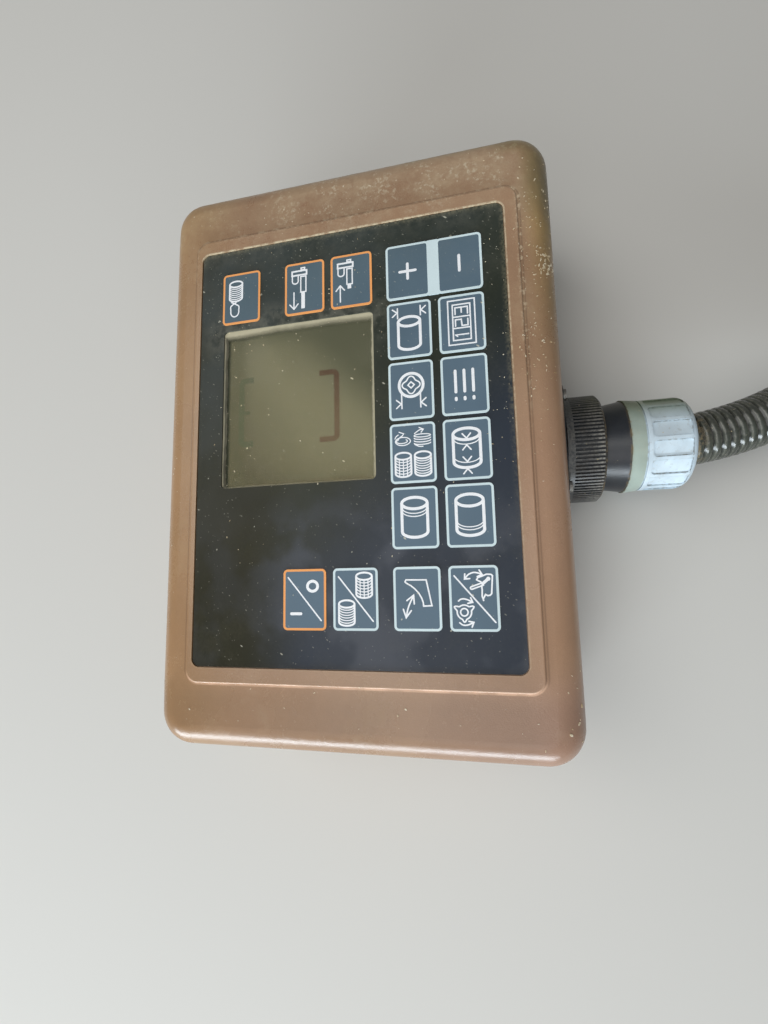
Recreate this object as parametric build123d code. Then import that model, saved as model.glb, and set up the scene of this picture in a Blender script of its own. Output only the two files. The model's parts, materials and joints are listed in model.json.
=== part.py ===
from build123d import *
import math
import os

# A control console of an implement, lying on its back, with its plugged-in lead in corrugated conduit.
# Millimetres. The origin is the centre of the rear face, +Z points out of the keypad,
# +X to the right and +Y to the top of the keypad as a reader sees it.

# Housing: a front bezel and a rear tub, screwed together over a gasket.
case_length = 222.7
case_height = 152.9
case_depth = 72.0
case_corner_radius = 13.0
wall = 3.0
join_depth = 0.5
front_depth = 19.0
gasket_thickness = 1.0
gasket_inset = 0.8
front_edge_radius = 10.0
face_plate = 4.6
rear_floor = 3.5
rear_edge_radius = 5.0
rear_draft = 1.5

# Raised field round the keypad, and the sloping border outside it.
field_length = 173.6
field_height = 126.0
field_corner_radius = 4.8
field_offset_y = -1.2
field_rise = 0.9
field_edge_radius = 0.6
border_fall = 1.4

# Keypad overlay, glued into a shallow recess of the field.
overlay_length = 162.0
overlay_height = 118.4
overlay_corner_radius = 2.9
overlay_thickness = 0.5
overlay_recess = 0.9
overlay_clearance = 0.25

# Keys: rows and columns are measured from the keypad's centre.
key_length = 21.2
key_height = 16.0
key_corner_radius = 1.6
key_rise = 0.25
frame_width = 0.8
column_pitch = 22.6
row_pitch = 18.6
grid_right_x = 60.3
left_column_reach = 57.3
top_row_y = 41.8
upper_pair_y = 15.3
lower_pair_drop = 24.7

# Display: a pane in a rebate of the face plate, with the display module behind it.
window_length = 62.8
window_height = 60.5
window_corner_radius = 1.8
window_x = 15.6
window_y = 18.9
pane_thickness = 1.5
pane_overlap = 3.2
pane_clearance = 0.2
pane_ledge = 2.2
display_gap = 0.3
display_clearance = 0.3
display_flange = 4.5
display_flange_thickness = 2.4

# Case screws, driven from the rear through hollow posts.
screw_inset_x = 15.0
screw_inset_y = 15.0
screw_radius = 2.0
screw_head_radius = 4.0
screw_head_height = 2.6
screw_head_depth = 4.0
screw_reach = 9.0
screw_fit = 0.05
screw_clearance = 0.3
screw_end_gap = 0.5
post_wall = 3.0
drive_slot = 1.0

# Threaded brass inserts for the mounting bracket, thread not cut.
mount_spacing_x = 100.0
mount_spacing_y = 60.0
mount_hole_radius = 3.0
insert_radius = 4.5
insert_length = 9.0
insert_fit = 0.05
insert_post_wall = 3.5

# Round plug connector on the lower side wall. Places along its axis are measured out from the wall pad.
connector_drop = 0.2
pad_margin = 5.0
pad_stand = 0.1
flange_size = 44.0
flange_corner_radius = 4.0
flange_thickness = 2.6
flange_screw_radius = 2.2
flange_screw_height = 1.4
barrel_radius = 18.5
barrel_wall = 3.1
barrel_length = 9.7
nose_radius = 15.0
nose_start = 4.6
ring_start = 3.0
ring_shoulder_radius = 22.0
ring_shoulder_length = 2.6
knurl_crest_radius = 21.7
knurl_root_radius = 21.1
knurl_teeth = 90
ring_length = 13.9
ring_chamfer = 1.0
ring_lip = 3.0
running_gap = 0.3
neck_radius = 15.9
shell_small_radius = 16.9
shell_large_radius = 18.3
shell_length = 8.8
collar_length = 5.2
collar_large_radius = 18.7
collar_small_radius = 18.1
nut_radius = 18.0
nut_length = 18.2
nut_dome_radius = 4.5
nut_ribs = 15
nut_rim = 2.2
nut_pocket_length = 13.4
nut_pocket_depth = 0.9
nut_pocket_corner = 1.5
nut_rib_width = 1.4
nut_groove_width = 0.6
nut_groove_depth = 0.6
nut_mouth_depth = 7.0
mouth_clearance = 0.85
contact_radius = 1.3
contact_length = 4.0
contact_circle = 10.0
contact_count = 10

# Corrugated conduit, a plain tube of the outer diameter here.
conduit_diameter = 20.4
coil_radius = 112.0
coil_turns = 3
coil_points_per_turn = 24
coil_centre_x = 6.0
coil_reach = 240.4
coil_start_angle = 32.5
coil_climb_share = 0.2
layer_gap = 0.2
coil_edge_flat = 0.5
tie_width = 5.0
tie_thickness = 1.1
tie_gap = 0.2
tie_floor_gap = 0.1
tie_angles = (150.0, 215.0, 285.0)
far_seat = 0.8

# Derived places.
face_z = case_depth
parting_z = case_depth - front_depth - gasket_thickness
front_base_z = case_depth - front_depth
field_base_z = face_z - field_rise
border_z = field_base_z - border_fall
recess_z = face_z - overlay_recess
overlay_top_z = recess_z + overlay_thickness
plate_under_z = recess_z - face_plate
pane_under_z = recess_z - pane_thickness
wall_pad_y = -case_height / 2 - pad_stand
connector_axis_z = parting_z / 2 - connector_drop
pad_size = parting_z - pad_margin
screw_x = case_length / 2 - screw_inset_x
screw_y = case_height / 2 - screw_inset_y
conduit_radius = conduit_diameter / 2
mouth_radius = conduit_radius + mouth_clearance
ring_end = ring_start + ring_length
shoulder_start = barrel_length + 0.2
shoulder_end = ring_end - ring_lip - running_gap
shell_start = ring_end + running_gap
shell_end = shell_start + shell_length
collar_end = shell_end + collar_length
nut_end = collar_end + nut_length
shoulder_radius = barrel_radius + 0.1
ring_bore = shoulder_radius + running_gap
lip_bore = neck_radius + running_gap
tie_reach = tie_gap + tie_thickness
coil_centre_y = wall_pad_y - coil_reach
coil_floor_z = tie_reach + tie_floor_gap
coil_first_z = coil_floor_z + conduit_radius + layer_gap
layer_pitch = conduit_diameter + layer_gap
coil_top_z = coil_floor_z + coil_turns * layer_pitch + layer_gap
coil_section_width = conduit_diameter + 2 * layer_gap

# The keys: column number in the right-hand grid (None is the left column), row height, frame colour.
upper_lower_y = upper_pair_y - row_pitch
lower_pair_y = -lower_pair_drop
lower_lower_y = lower_pair_y - row_pitch
KEYS = (
    # column, row_y, frame
    (4, top_row_y, "orange"),
    (4, upper_pair_y, "orange"),
    (4, upper_lower_y, "orange"),
    (None, upper_pair_y, "orange"),
    (None, upper_lower_y, "grey"),
    (None, lower_pair_y, "grey"),
    (None, lower_lower_y, "grey"),
    (0, lower_pair_y, "grey"),
    (0, lower_lower_y, "grey"),
    (1, lower_pair_y, "grey"),
    (1, lower_lower_y, "grey"),
    (2, lower_pair_y, "grey"),
    (2, lower_lower_y, "grey"),
    (3, lower_pair_y, "grey"),
    (3, lower_lower_y, "grey"),
    (4, lower_pair_y, "grey"),
    (4, lower_lower_y, "grey"),
)

# The conduit's free run from the gland nut down to the coil. Heights are shares of the connector's height over the coil.
RUN_TABLE = (
    # x, distance out of the wall pad, share of height
    (-0.4, 43.6, 1.000),
    (1.5, 56.4, 0.971),
    (4.8, 70.2, 0.893),
    (9.8, 83.8, 0.771),
    (16.8, 97.4, 0.607),
    (26.0, 110.6, 0.429),
    (37.4, 123.2, 0.257),
    (51.0, 135.0, 0.114),
)

# The conduit's tail, up from the coil to the far plug that lies on it. Places are from the coil's centre and top.
TAIL_TABLE = (
    # x, y, rise
    (82.6, 75.7, 14.9),
    (97.2, 56.6, 18.9),
    (106.9, 36.9, 21.5),
    (112.2, 18.6, 22.3),
)
axis_rise = connector_axis_z - coil_first_z
RUN_POINTS = [(x, wall_pad_y - out, coil_first_z + share * axis_rise) for x, out, share in RUN_TABLE]
TAIL_POINTS = [(coil_centre_x + x, coil_centre_y + y, coil_top_z + rise) for x, y, rise in TAIL_TABLE]


def corner(x, y):
    """The four places at plus and minus x and y."""
    return [(x, y), (-x, y), (-x, -y), (x, -y)]


def plate(length, height, radius, z_low, z_high, x=0.0, y=0.0):
    """A flat plate with rounded corners between two heights."""
    outline = Pos(x, y, z_low) * RectangleRounded(length, height, radius)
    return extrude(outline, z_high - z_low)


def post(x, y, radius, z_low, z_high):
    """An upright cylinder between two heights."""
    return Pos(x, y, z_low) * extrude(Circle(radius), z_high - z_low)


def turned(points):
    """A piece turned about local Z from (radius, place) points."""
    profile = Plane.XZ * make_face(Polyline(*points, close=True))
    return revolve(profile, Axis.Z)


def front_shell():
    """The bezel: rounded edge, sloping border, raised field, recess, display rebate and screw posts."""
    body = plate(case_length, case_height, case_corner_radius, front_base_z, border_z)
    low = Pos(0, 0, border_z) * RectangleRounded(case_length, case_height, case_corner_radius)
    high = Pos(0, field_offset_y, field_base_z) * RectangleRounded(field_length, field_height, field_corner_radius)
    body += loft([low.face(), high.face()], ruled=True)
    rim = [e for e in body.edges() if abs(e.center().Z - border_z) < 0.01]
    body = fillet(rim, front_edge_radius)
    field = plate(
        field_length, field_height, field_corner_radius, field_base_z - join_depth, face_z, 0, field_offset_y
    )
    field = fillet(field.faces().sort_by(Axis.Z)[-1].edges(), field_edge_radius)
    body += field
    inner_length = case_length - 2 * wall
    inner_height = case_height - 2 * wall
    cavity = plate(inner_length, inner_height, case_corner_radius - wall, front_base_z, plate_under_z)
    cavity = fillet(cavity.faces().sort_by(Axis.Z)[-1].edges(), front_edge_radius - wall)
    body -= cavity
    for x, y in corner(screw_x, screw_y):
        body += post(x, y, screw_radius + post_wall, front_base_z, plate_under_z + join_depth)
        body -= post(x, y, screw_radius + screw_fit, front_base_z, front_base_z + screw_reach + screw_end_gap)
    body -= plate(
        overlay_length + 2 * overlay_clearance,
        overlay_height + 2 * overlay_clearance,
        overlay_corner_radius + overlay_clearance,
        recess_z,
        face_z,
    )
    x, y = window_place()
    rebate = 2 * (pane_overlap + pane_clearance)
    body -= plate(
        window_length + rebate, window_height + rebate, window_corner_radius, pane_under_z, recess_z, x, y
    )
    body -= plate(*display_opening(), window_corner_radius, plate_under_z, pane_under_z, x, y)
    return body


def window_place():
    """The display window's centre in the part's frame."""
    return window_x, window_y


def display_opening():
    """Length and height of the opening behind the pane."""
    ledge = 2 * (pane_overlap + pane_clearance - pane_ledge)
    return window_length + ledge, window_height + ledge


def rear_shell():
    """The tub: drafted walls, rounded rear edge, connector pad, screw posts and insert posts."""
    rim = Pos(0, 0, parting_z) * RectangleRounded(case_length, case_height, case_corner_radius)
    body = extrude(rim, parting_z, dir=(0, 0, -1), taper=rear_draft)
    body = fillet(body.faces().sort_by(Axis.Z)[0].edges(), rear_edge_radius)
    inner = Pos(0, 0, parting_z) * RectangleRounded(
        case_length - 2 * wall, case_height - 2 * wall, case_corner_radius - wall
    )
    cavity = extrude(inner, parting_z - rear_floor, dir=(0, 0, -1), taper=rear_draft)
    body -= cavity
    pad_depth = pad_stand + wall + parting_z * math.tan(math.radians(rear_draft))
    body += Pos(0, wall_pad_y + pad_depth / 2, connector_axis_z) * Box(pad_size, pad_depth, pad_size)
    for x, y in corner(screw_x, screw_y):
        body += post(x, y, screw_head_radius + post_wall, rear_floor / 2, parting_z)
    for x, y in corner(screw_x, screw_y):
        body -= post(x, y, screw_head_radius + screw_clearance, 0, screw_head_depth)
        body -= post(x, y, screw_radius + screw_clearance, 0, parting_z)
    for x, y in corner(mount_spacing_x / 2, mount_spacing_y / 2):
        body += post(x, y, insert_radius + insert_post_wall, 0, insert_length + insert_post_wall)
        body -= post(x, y, insert_radius + insert_fit, 0, insert_length)
    return body


def shell_gasket():
    """The soft gasket between bezel and tub, a little inside their walls."""
    outer = plate(
        case_length - 2 * gasket_inset,
        case_height - 2 * gasket_inset,
        case_corner_radius - gasket_inset,
        parting_z,
        front_base_z,
    )
    inner = plate(
        case_length - 2 * wall, case_height - 2 * wall, case_corner_radius - wall, parting_z, front_base_z
    )
    return outer - inner


def case_screws():
    """Four pan-head screws, heads sunk in the tub's posts."""
    screws = []
    for x, y in corner(screw_x, screw_y):
        head_top = screw_head_depth
        head_low = head_top - screw_head_height
        head = post(x, y, screw_head_radius, head_low, head_top)
        head = fillet(head.faces().sort_by(Axis.Z)[0].edges(), screw_head_height * 0.4)
        slot = Pos(x, y, head_low) * Box(screw_head_radius * 1.3, drive_slot, screw_head_height * 0.7)
        slot += Pos(x, y, head_low) * Box(drive_slot, screw_head_radius * 1.3, screw_head_height * 0.7)
        screws.append(head - slot + post(x, y, screw_radius, head_top, front_base_z + screw_reach))
    return screws


def mount_inserts():
    """Four brass sleeves flush with the rear face."""
    return [
        post(x, y, insert_radius, 0, insert_length) - post(x, y, mount_hole_radius, 0, insert_length)
        for x, y in corner(mount_spacing_x / 2, mount_spacing_y / 2)
    ]


def keypad_overlay():
    """The flat overlay with its display cut-out."""
    body = plate(overlay_length, overlay_height, overlay_corner_radius, recess_z, overlay_top_z)
    x, y = window_place()
    return body - plate(window_length, window_height, window_corner_radius, recess_z, overlay_top_z, x, y)


def key_centre(column, row_y):
    """A key's centre in the part's frame."""
    x = -left_column_reach if column is None else grid_right_x - (4 - column) * column_pitch
    return x, row_y


def key_pad(column, row_y):
    """The slightly raised pad inside a key's frame."""
    length = key_length - 2 * frame_width
    height = key_height - 2 * frame_width
    radius = key_corner_radius - frame_width
    return plate(length, height, radius, overlay_top_z, overlay_top_z + key_rise, *key_centre(column, row_y))


def key_frame(column, row_y):
    """The raised frame round a key's pad."""
    outer = plate(
        key_length,
        key_height,
        key_corner_radius,
        overlay_top_z,
        overlay_top_z + key_rise,
        *key_centre(column, row_y),
    )
    return outer - key_pad(column, row_y)


def key_frames(colour):
    """All frames of one colour; the last two grey ones are joined by a bar, as one tall double key."""
    frames = [key_frame(column, row_y) for column, row_y, frame in KEYS if frame == colour]
    if colour == "grey":
        x, y = key_centre(4, (lower_pair_y + lower_lower_y) / 2)
        gap = row_pitch - key_height + 2 * frame_width
        bar = plate(key_length, gap, key_corner_radius / 4, overlay_top_z, overlay_top_z + key_rise, x, y)
        frames = frames[:-2] + [frames[-2] + frames[-1] + bar]
    return frames


def display_window():
    """The clear pane in its rebate under the overlay."""
    x, y = window_place()
    length = window_length + 2 * pane_overlap
    height = window_height + 2 * pane_overlap
    return plate(length, height, window_corner_radius - pane_clearance, pane_under_z, recess_z, x, y)


def display_module():
    """The display: its glass fills the opening behind the pane, its flange seats under the face plate."""
    x, y = window_place()
    length, height = display_opening()
    glass = plate(
        length - 2 * display_clearance,
        height - 2 * display_clearance,
        window_corner_radius - display_clearance,
        plate_under_z,
        pane_under_z - display_gap,
        x,
        y,
    )
    flange = plate(
        length + 2 * display_flange,
        height + 2 * display_flange,
        window_corner_radius,
        plate_under_z - display_flange_thickness,
        plate_under_z,
        x,
        y,
    )
    return glass + flange


def panel_receptacle():
    """The fixed half of the connector: square flange and barrel, along local Z."""
    body = extrude(RectangleRounded(flange_size, flange_size, flange_corner_radius), flange_thickness)
    body += extrude(Circle(barrel_radius), barrel_length)
    body -= Pos(0, 0, flange_thickness) * extrude(Circle(barrel_radius - barrel_wall), barrel_length)
    return body


def receptacle_screws():
    """Four low screw heads on the flange's corners."""
    half = flange_size / 2 - flange_corner_radius
    return [
        Pos(x, y, flange_thickness) * extrude(Circle(flange_screw_radius), flange_screw_height)
        for x, y in corner(half, half)
    ]


def coupling_ring():
    """The knurled ring: smooth shoulder, fine straight teeth, bevelled end, bore with a rear lip."""
    knurl_start = ring_start + ring_shoulder_length
    step = 2 * math.pi / knurl_teeth
    outline = []
    for tooth in range(knurl_teeth):
        for share, radius in ((0.0, 0), (0.42, 0), (0.56, 1), (0.86, 1)):
            angle = (tooth + share) * step
            r = knurl_root_radius if radius else knurl_crest_radius
            outline.append((r * math.cos(angle), r * math.sin(angle)))
    teeth = Pos(0, 0, knurl_start) * extrude(make_face(Polyline(*outline, close=True)), ring_end - knurl_start)
    crest = knurl_crest_radius
    envelope = turned(
        [(0, knurl_start), (crest, knurl_start), (crest, ring_end - ring_chamfer),
         (crest - ring_chamfer, ring_end), (0, ring_end)]
    )
    body = teeth & envelope
    body += Pos(0, 0, ring_start) * extrude(Circle(ring_shoulder_radius), ring_shoulder_length)
    body -= Pos(0, 0, ring_start) * extrude(Circle(ring_bore), ring_length - ring_lip)
    body -= Pos(0, 0, ring_start) * extrude(Circle(lip_bore), ring_length)
    return body


def plug_body():
    """The plug: nose, retaining shoulder, neck through the ring's lip, and flared back shell."""
    return turned(
        [(0, nose_start), (nose_radius, nose_start), (nose_radius, shoulder_start),
         (shoulder_radius, shoulder_start), (shoulder_radius, shoulder_end), (neck_radius, shoulder_end),
         (neck_radius, shell_start), (shell_small_radius, shell_start),
         (shell_large_radius, shell_end), (0, shell_end)]
    )


def gland_body():
    """The plain collar between the plug and the gland nut."""
    return turned(
        [(0, shell_end), (collar_large_radius, shell_end), (collar_small_radius, collar_end), (0, collar_end)]
    )


def gland_nut():
    """The gland nut: groove, rim, pockets between narrow ribs, domed end and open mouth."""
    body = Pos(0, 0, collar_end) * extrude(Circle(nut_radius), nut_length)
    body = fillet(body.faces().sort_by(Axis.Z)[-1].edges(), nut_dome_radius)
    body -= Pos(0, 0, nut_end - nut_mouth_depth) * extrude(Circle(mouth_radius), nut_mouth_depth)
    pocket_width = 2 * math.pi * nut_radius / nut_ribs - nut_rib_width
    outline = Rot(0, 90, 0) * RectangleRounded(nut_pocket_length, pocket_width, nut_pocket_corner)
    pocket = extrude(outline, 2 * nut_pocket_depth)
    middle = collar_end + nut_rim + nut_pocket_length / 2
    for number in range(nut_ribs):
        turn = Rot(0, 0, (number + 0.5) * 360 / nut_ribs)
        body -= turn * Pos(nut_radius - nut_pocket_depth, 0, middle) * pocket
    groove_radius = nut_radius - nut_groove_depth
    band = Circle(nut_radius + nut_groove_depth) - Circle(groove_radius)
    return body - Pos(0, 0, collar_end) * extrude(band, nut_groove_width)


def contact_pins():
    """The far plug's contacts, standing out of its nose."""
    pins = []
    for number in range(contact_count):
        angle = 2 * math.pi * number / contact_count
        place = Pos(contact_circle * math.cos(angle), contact_circle * math.sin(angle), nose_start - contact_length)
        pins.append(place * extrude(Circle(contact_radius), contact_length))
    return pins


def coil_point(turn):
    """A point of the coil after so many turns, each turn flat on the last, with a short climb at its end."""
    angle = math.radians(coil_start_angle + 360 * turn)
    whole = math.floor(turn + 1e-9)
    climb = max(0.0, (turn - whole - 1 + coil_climb_share) / coil_climb_share)
    return (
        coil_centre_x + coil_radius * math.sin(angle),
        coil_centre_y + coil_radius * math.cos(angle),
        coil_first_z + (whole + climb) * layer_pitch,
    )


def tube(name, points):
    """A plain tube along straight runs joined by tangent arcs as large as the runs allow."""
    places = [Vector(*p) for p in points]
    radii = []
    for before, here, after in zip(places, places[1:], places[2:]):
        turn = (here - before).get_angle(after - here)
        shorter = min((here - before).length, (after - here).length)
        radii.append(0.45 * shorter / math.tan(math.radians(turn) / 2))
    path = FilletPolyline(*points, radius=radii)
    start = Plane(origin=places[0], z_dir=places[1] - places[0])
    body = sweep(start * Circle(conduit_radius), path=path)
    share = body.volume / (math.pi * conduit_radius**2 * path.length)
    print(name, "length", round(path.length, 1), "volume share", round(share, 4))
    print(name, "radii", [round(r) for r in radii])
    return body


def conduit_coil():
    """The outer shape of the wound turns."""
    section = Pos(coil_radius, (coil_floor_z + coil_top_z) / 2) * RectangleRounded(
        coil_section_width, coil_top_z - coil_floor_z, conduit_radius - coil_edge_flat
    )
    return Pos(coil_centre_x, coil_centre_y, 0) * revolve(Plane.XZ * section, Axis.Z)


def coil_ties():
    """Flat ties round the wound turns."""
    width = coil_section_width + 2 * tie_gap
    height = coil_top_z - coil_floor_z + 2 * tie_gap
    middle = (coil_floor_z + coil_top_z) / 2
    inner = RectangleRounded(width, height, conduit_radius)
    outer = RectangleRounded(width + 2 * tie_thickness, height + 2 * tie_thickness, conduit_radius + tie_thickness)
    band = extrude(Plane.XZ * (outer - inner), tie_width / 2, both=True)
    ties = []
    for angle in tie_angles:
        place = Pos(coil_centre_x, coil_centre_y, middle) * Rot(0, 0, 90 - angle) * Pos(coil_radius, 0, 0)
        ties.append(place * band)
    return ties


def write(name, shape):
    """Writes one sub-part, or several solids that share a node."""
    solids = []
    for piece in shape if isinstance(shape, list) else [shape]:
        solids += piece.solids()
    whole = solids[0] if len(solids) == 1 else Compound(solids)
    whole.label = name
    export_step(whole, os.path.join("parts", name + ".step"))


def main():
    os.makedirs("parts", exist_ok=True)
    write("front_shell", front_shell())
    write("rear_shell", rear_shell())
    write("shell_gasket", shell_gasket())
    write("case_screws", case_screws())
    write("mount_inserts", mount_inserts())
    write("keypad_overlay", keypad_overlay())
    write("key_pads", [key_pad(column, row_y) for column, row_y, _ in KEYS])
    write("key_frames_grey", key_frames("grey"))
    write("key_frames_orange", key_frames("orange"))
    write("display_window", display_window())
    write("display_module", display_module())

    # The near connector points out of the lower wall.
    near = Plane(origin=(0, wall_pad_y, connector_axis_z), x_dir=(1, 0, 0), z_dir=(0, -1, 0)).location
    write("panel_receptacle", near * panel_receptacle())
    write("receptacle_screws", [near * screw for screw in receptacle_screws()])
    write("coupling_ring", near * coupling_ring())
    write("plug_body", near * plug_body())
    write("gland_body", near * gland_body())
    write("gland_nut", near * gland_nut())

    # The conduit: free run, coil, tail.
    wound = [coil_point(n / coil_points_per_turn) for n in range(coil_turns * coil_points_per_turn + 1)]
    climb_points = int(coil_climb_share * coil_points_per_turn) + 1
    write("conduit_run", tube("run", [*RUN_POINTS, wound[0], wound[1]]))
    write("conduit_coil", conduit_coil())
    write("conduit_tail", tube("tail", [*wound[-climb_points:], *TAIL_POINTS]))
    write("coil_ties", coil_ties())
    all_points = [Vector(*p) for p in (*RUN_POINTS, *wound, *TAIL_POINTS)]
    print("lead length", round(sum((b - a).length for a, b in zip(all_points, all_points[1:]))))

    # The far plug lies on the coil at the tail's end, its mating side facing away from the conduit.
    last, before = Vector(*TAIL_POINTS[-1]), Vector(*TAIL_POINTS[-2])
    back = (before - last).normalized()
    origin = last - back * (nut_end - nut_mouth_depth + far_seat)
    far = Plane(origin=origin, x_dir=back.cross(Vector(0, 0, 1)), z_dir=back).location
    write("far_gland_nut", far * gland_nut())
    write("far_gland_body", far * gland_body())
    write("far_plug_body", far * plug_body())
    write("far_coupling_ring", far * coupling_ring())
    write("far_contacts", [far * pin for pin in contact_pins()])
    print("far plug mating place", origin, "towards", -back)


main()
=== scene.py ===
import json
import math
import random

import bmesh
import bpy
import numpy as np
from bpy.props import FloatProperty, FloatVectorProperty, IntProperty, PointerProperty
from mathutils import Matrix, Vector
from mathutils.bvhtree import BVHTree


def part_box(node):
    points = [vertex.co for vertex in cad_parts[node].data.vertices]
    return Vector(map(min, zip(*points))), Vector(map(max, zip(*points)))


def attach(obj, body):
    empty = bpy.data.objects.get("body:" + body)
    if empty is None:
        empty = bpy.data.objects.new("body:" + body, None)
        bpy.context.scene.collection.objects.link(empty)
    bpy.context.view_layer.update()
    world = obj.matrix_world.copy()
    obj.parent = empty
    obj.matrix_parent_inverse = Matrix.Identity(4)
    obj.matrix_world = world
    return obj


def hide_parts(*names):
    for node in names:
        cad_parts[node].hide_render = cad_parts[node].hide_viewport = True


# The looks of a control console with its plugged-in lead, built round the packed model.
# Metres, in the model's own frame: +Z out of the keypad, +X to the reader's right, +Y to the keypad's top.

bl_info = {
    "name": "Control console looks",
    "version": (1, 0, 0),
    "blender": (4, 5, 0),
    "location": "3D View > Sidebar > Console",
    "description": "Finishes a control console and its lead in corrugated conduit",
    "category": "Object",
}

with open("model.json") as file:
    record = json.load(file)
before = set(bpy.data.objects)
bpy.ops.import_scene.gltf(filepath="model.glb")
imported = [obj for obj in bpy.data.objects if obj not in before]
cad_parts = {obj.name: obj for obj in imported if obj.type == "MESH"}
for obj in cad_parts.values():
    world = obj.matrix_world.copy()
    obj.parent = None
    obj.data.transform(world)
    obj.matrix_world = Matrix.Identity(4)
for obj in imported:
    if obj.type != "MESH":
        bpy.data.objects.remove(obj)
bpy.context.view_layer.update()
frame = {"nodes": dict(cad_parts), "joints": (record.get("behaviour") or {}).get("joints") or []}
MM = 0.001

# Places that the frame gives.
overlay_low, overlay_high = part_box("keypad_overlay")
keypad_centre = (overlay_low + overlay_high) / 2
pad_top_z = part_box("key_pads")[1].z
window_low, window_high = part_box("display_window")
window_centre = (window_low + window_high) / 2
case_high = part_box("front_shell")[1]
joints = {joint["name"]: joint for joint in frame["joints"]}
near_axis = Vector(joints["near_ring_turn"]["axis"])
receptacle_low, receptacle_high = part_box("panel_receptacle")
near_origin = Vector((0.0, receptacle_high.y, (receptacle_low.z + receptacle_high.z) / 2))
far_axis = -Vector(joints["far_ring_turn"]["axis"])
far_origin = Vector(joints["far_ring_turn"]["pos_m"])

# Keypad grid about the film's centre.
column_pitch = 22.6 * MM
row_pitch = 18.6 * MM
grid_right_x = 60.3 * MM
left_column_x = -57.3 * MM
top_row_y = 41.8 * MM
upper_pair_y = 15.3 * MM
lower_pair_y = -24.7 * MM
window_half_x = 31.4 * MM
window_half_y = 30.25 * MM
window_corner = 1.8 * MM
overlay_corner = 2.9 * MM

# The raised field round the film.
field_centre = (0.0, -1.2 * MM, 0.0)
field_half = (86.8 * MM, 63.0 * MM, 0.0)
field_corner = 4.8 * MM

overlay_half = (overlay_high - overlay_low) / 2
case_corner = 13.0 * MM

# The gland nut's pockets.
nut_radius = 18.0 * MM
nut_pockets = 15
nut_pocket_middle = 40.1 * MM
nut_pocket_half_length = 6.7 * MM
nut_pocket_half_arc = math.pi * nut_radius / nut_pockets - 0.7 * MM

# Places along a plug's axis, out from the wall pad.
ring_end = 16.9 * MM
shell_end = 26.0 * MM
collar_end = 31.2 * MM
nut_end = 49.4 * MM

# The lead's route, as in the part's source.
conduit_diameter = 20.4 * MM
coil_low, coil_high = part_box("conduit_coil")
coil_centre = Vector(((coil_low.x + coil_high.x) / 2, (coil_low.y + coil_high.y) / 2, 0.0))
coil_radius = 112.0 * MM
coil_turns = 3
coil_points_per_turn = 24
coil_start_angle = 32.5
coil_climb_share = 0.2
layer_gap = 0.2 * MM
layer_pitch = conduit_diameter + layer_gap
coil_first_z = coil_low.z + conduit_diameter / 2 + layer_gap
axis_rise = near_origin.z - coil_first_z
tie_angles = (150.0, 215.0, 285.0)
RUN_TABLE = (
    # x in millimetres, distance out of the wall pad, share of the plug's height over the coil's first turn
    (-0.4, 43.6, 1.000),
    (1.5, 56.4, 0.971),
    (4.8, 70.2, 0.893),
    (9.8, 83.8, 0.771),
    (16.8, 97.4, 0.607),
    (26.0, 110.6, 0.429),
    (37.4, 123.2, 0.257),
    (51.0, 135.0, 0.114),
)
TAIL_TABLE = (
    # x and y from the coil's centre and rise over its top, in millimetres
    (82.6, 75.7, 14.9),
    (97.2, 56.6, 18.9),
    (106.9, 36.9, 21.5),
    (112.2, 18.6, 22.3),
)


class StageSettings(bpy.types.PropertyGroup):
    """Camera, floor and lamps."""

    camera_place: FloatVectorProperty(
        name="Camera place", description="Where the camera stands", default=(-0.04732, -0.04823, 0.22651),
        subtype="TRANSLATION", unit="LENGTH",
    )
    camera_turn: FloatVectorProperty(
        name="Camera turn", description="The camera's rotation", subtype="EULER", unit="ROTATION",
        default=(math.radians(6.790), math.radians(12.632), math.radians(-91.267)),
    )
    camera_lens: FloatProperty(
        name="Lens", description="Focal length for a 36 mm long side", default=16.222,
        subtype="DISTANCE_CAMERA",
    )
    floor_colour: FloatVectorProperty(
        name="Floor", description="Colour of the pale floor", default=(0.62, 0.61, 0.58), subtype="COLOR",
        min=0.0, max=1.0,
    )
    sky_strength: FloatProperty(
        name="Sky strength", description="Even light from all sides", default=0.24, min=0.0, subtype="FACTOR",
    )
    side_power: FloatProperty(
        name="Side strip", description="Power of the low strip lamp on the reader's left", default=20.5,
        min=0.0, unit="POWER",
    )
    side_panel_power: FloatProperty(
        name="Side panel", description="Power of the high soft panel on the reader's left", default=2.4,
        min=0.0, unit="POWER",
    )
    top_power: FloatProperty(
        name="Top panel", description="Power of the large panel lamp overhead", default=13.5, min=0.0,
        unit="POWER",
    )


class HousingSettings(bpy.types.PropertyGroup):
    """The moulded housing's finish."""

    plastic: FloatVectorProperty(
        name="Plastic", description="Brown moulding", default=(0.345, 0.208, 0.122), subtype="COLOR",
        min=0.0, max=1.0,
    )
    dust: FloatVectorProperty(
        name="Dust", description="Chaff dust", default=(0.52, 0.41, 0.24), subtype="COLOR", min=0.0, max=1.0,
    )
    grain_size: FloatProperty(
        name="Grain size", description="Size of the moulded grain", default=0.00045, unit="LENGTH",
        precision=5,
    )
    grain_depth: FloatProperty(
        name="Grain depth", description="Depth of the moulded grain", default=0.00003, unit="LENGTH",
        precision=6,
    )


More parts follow.
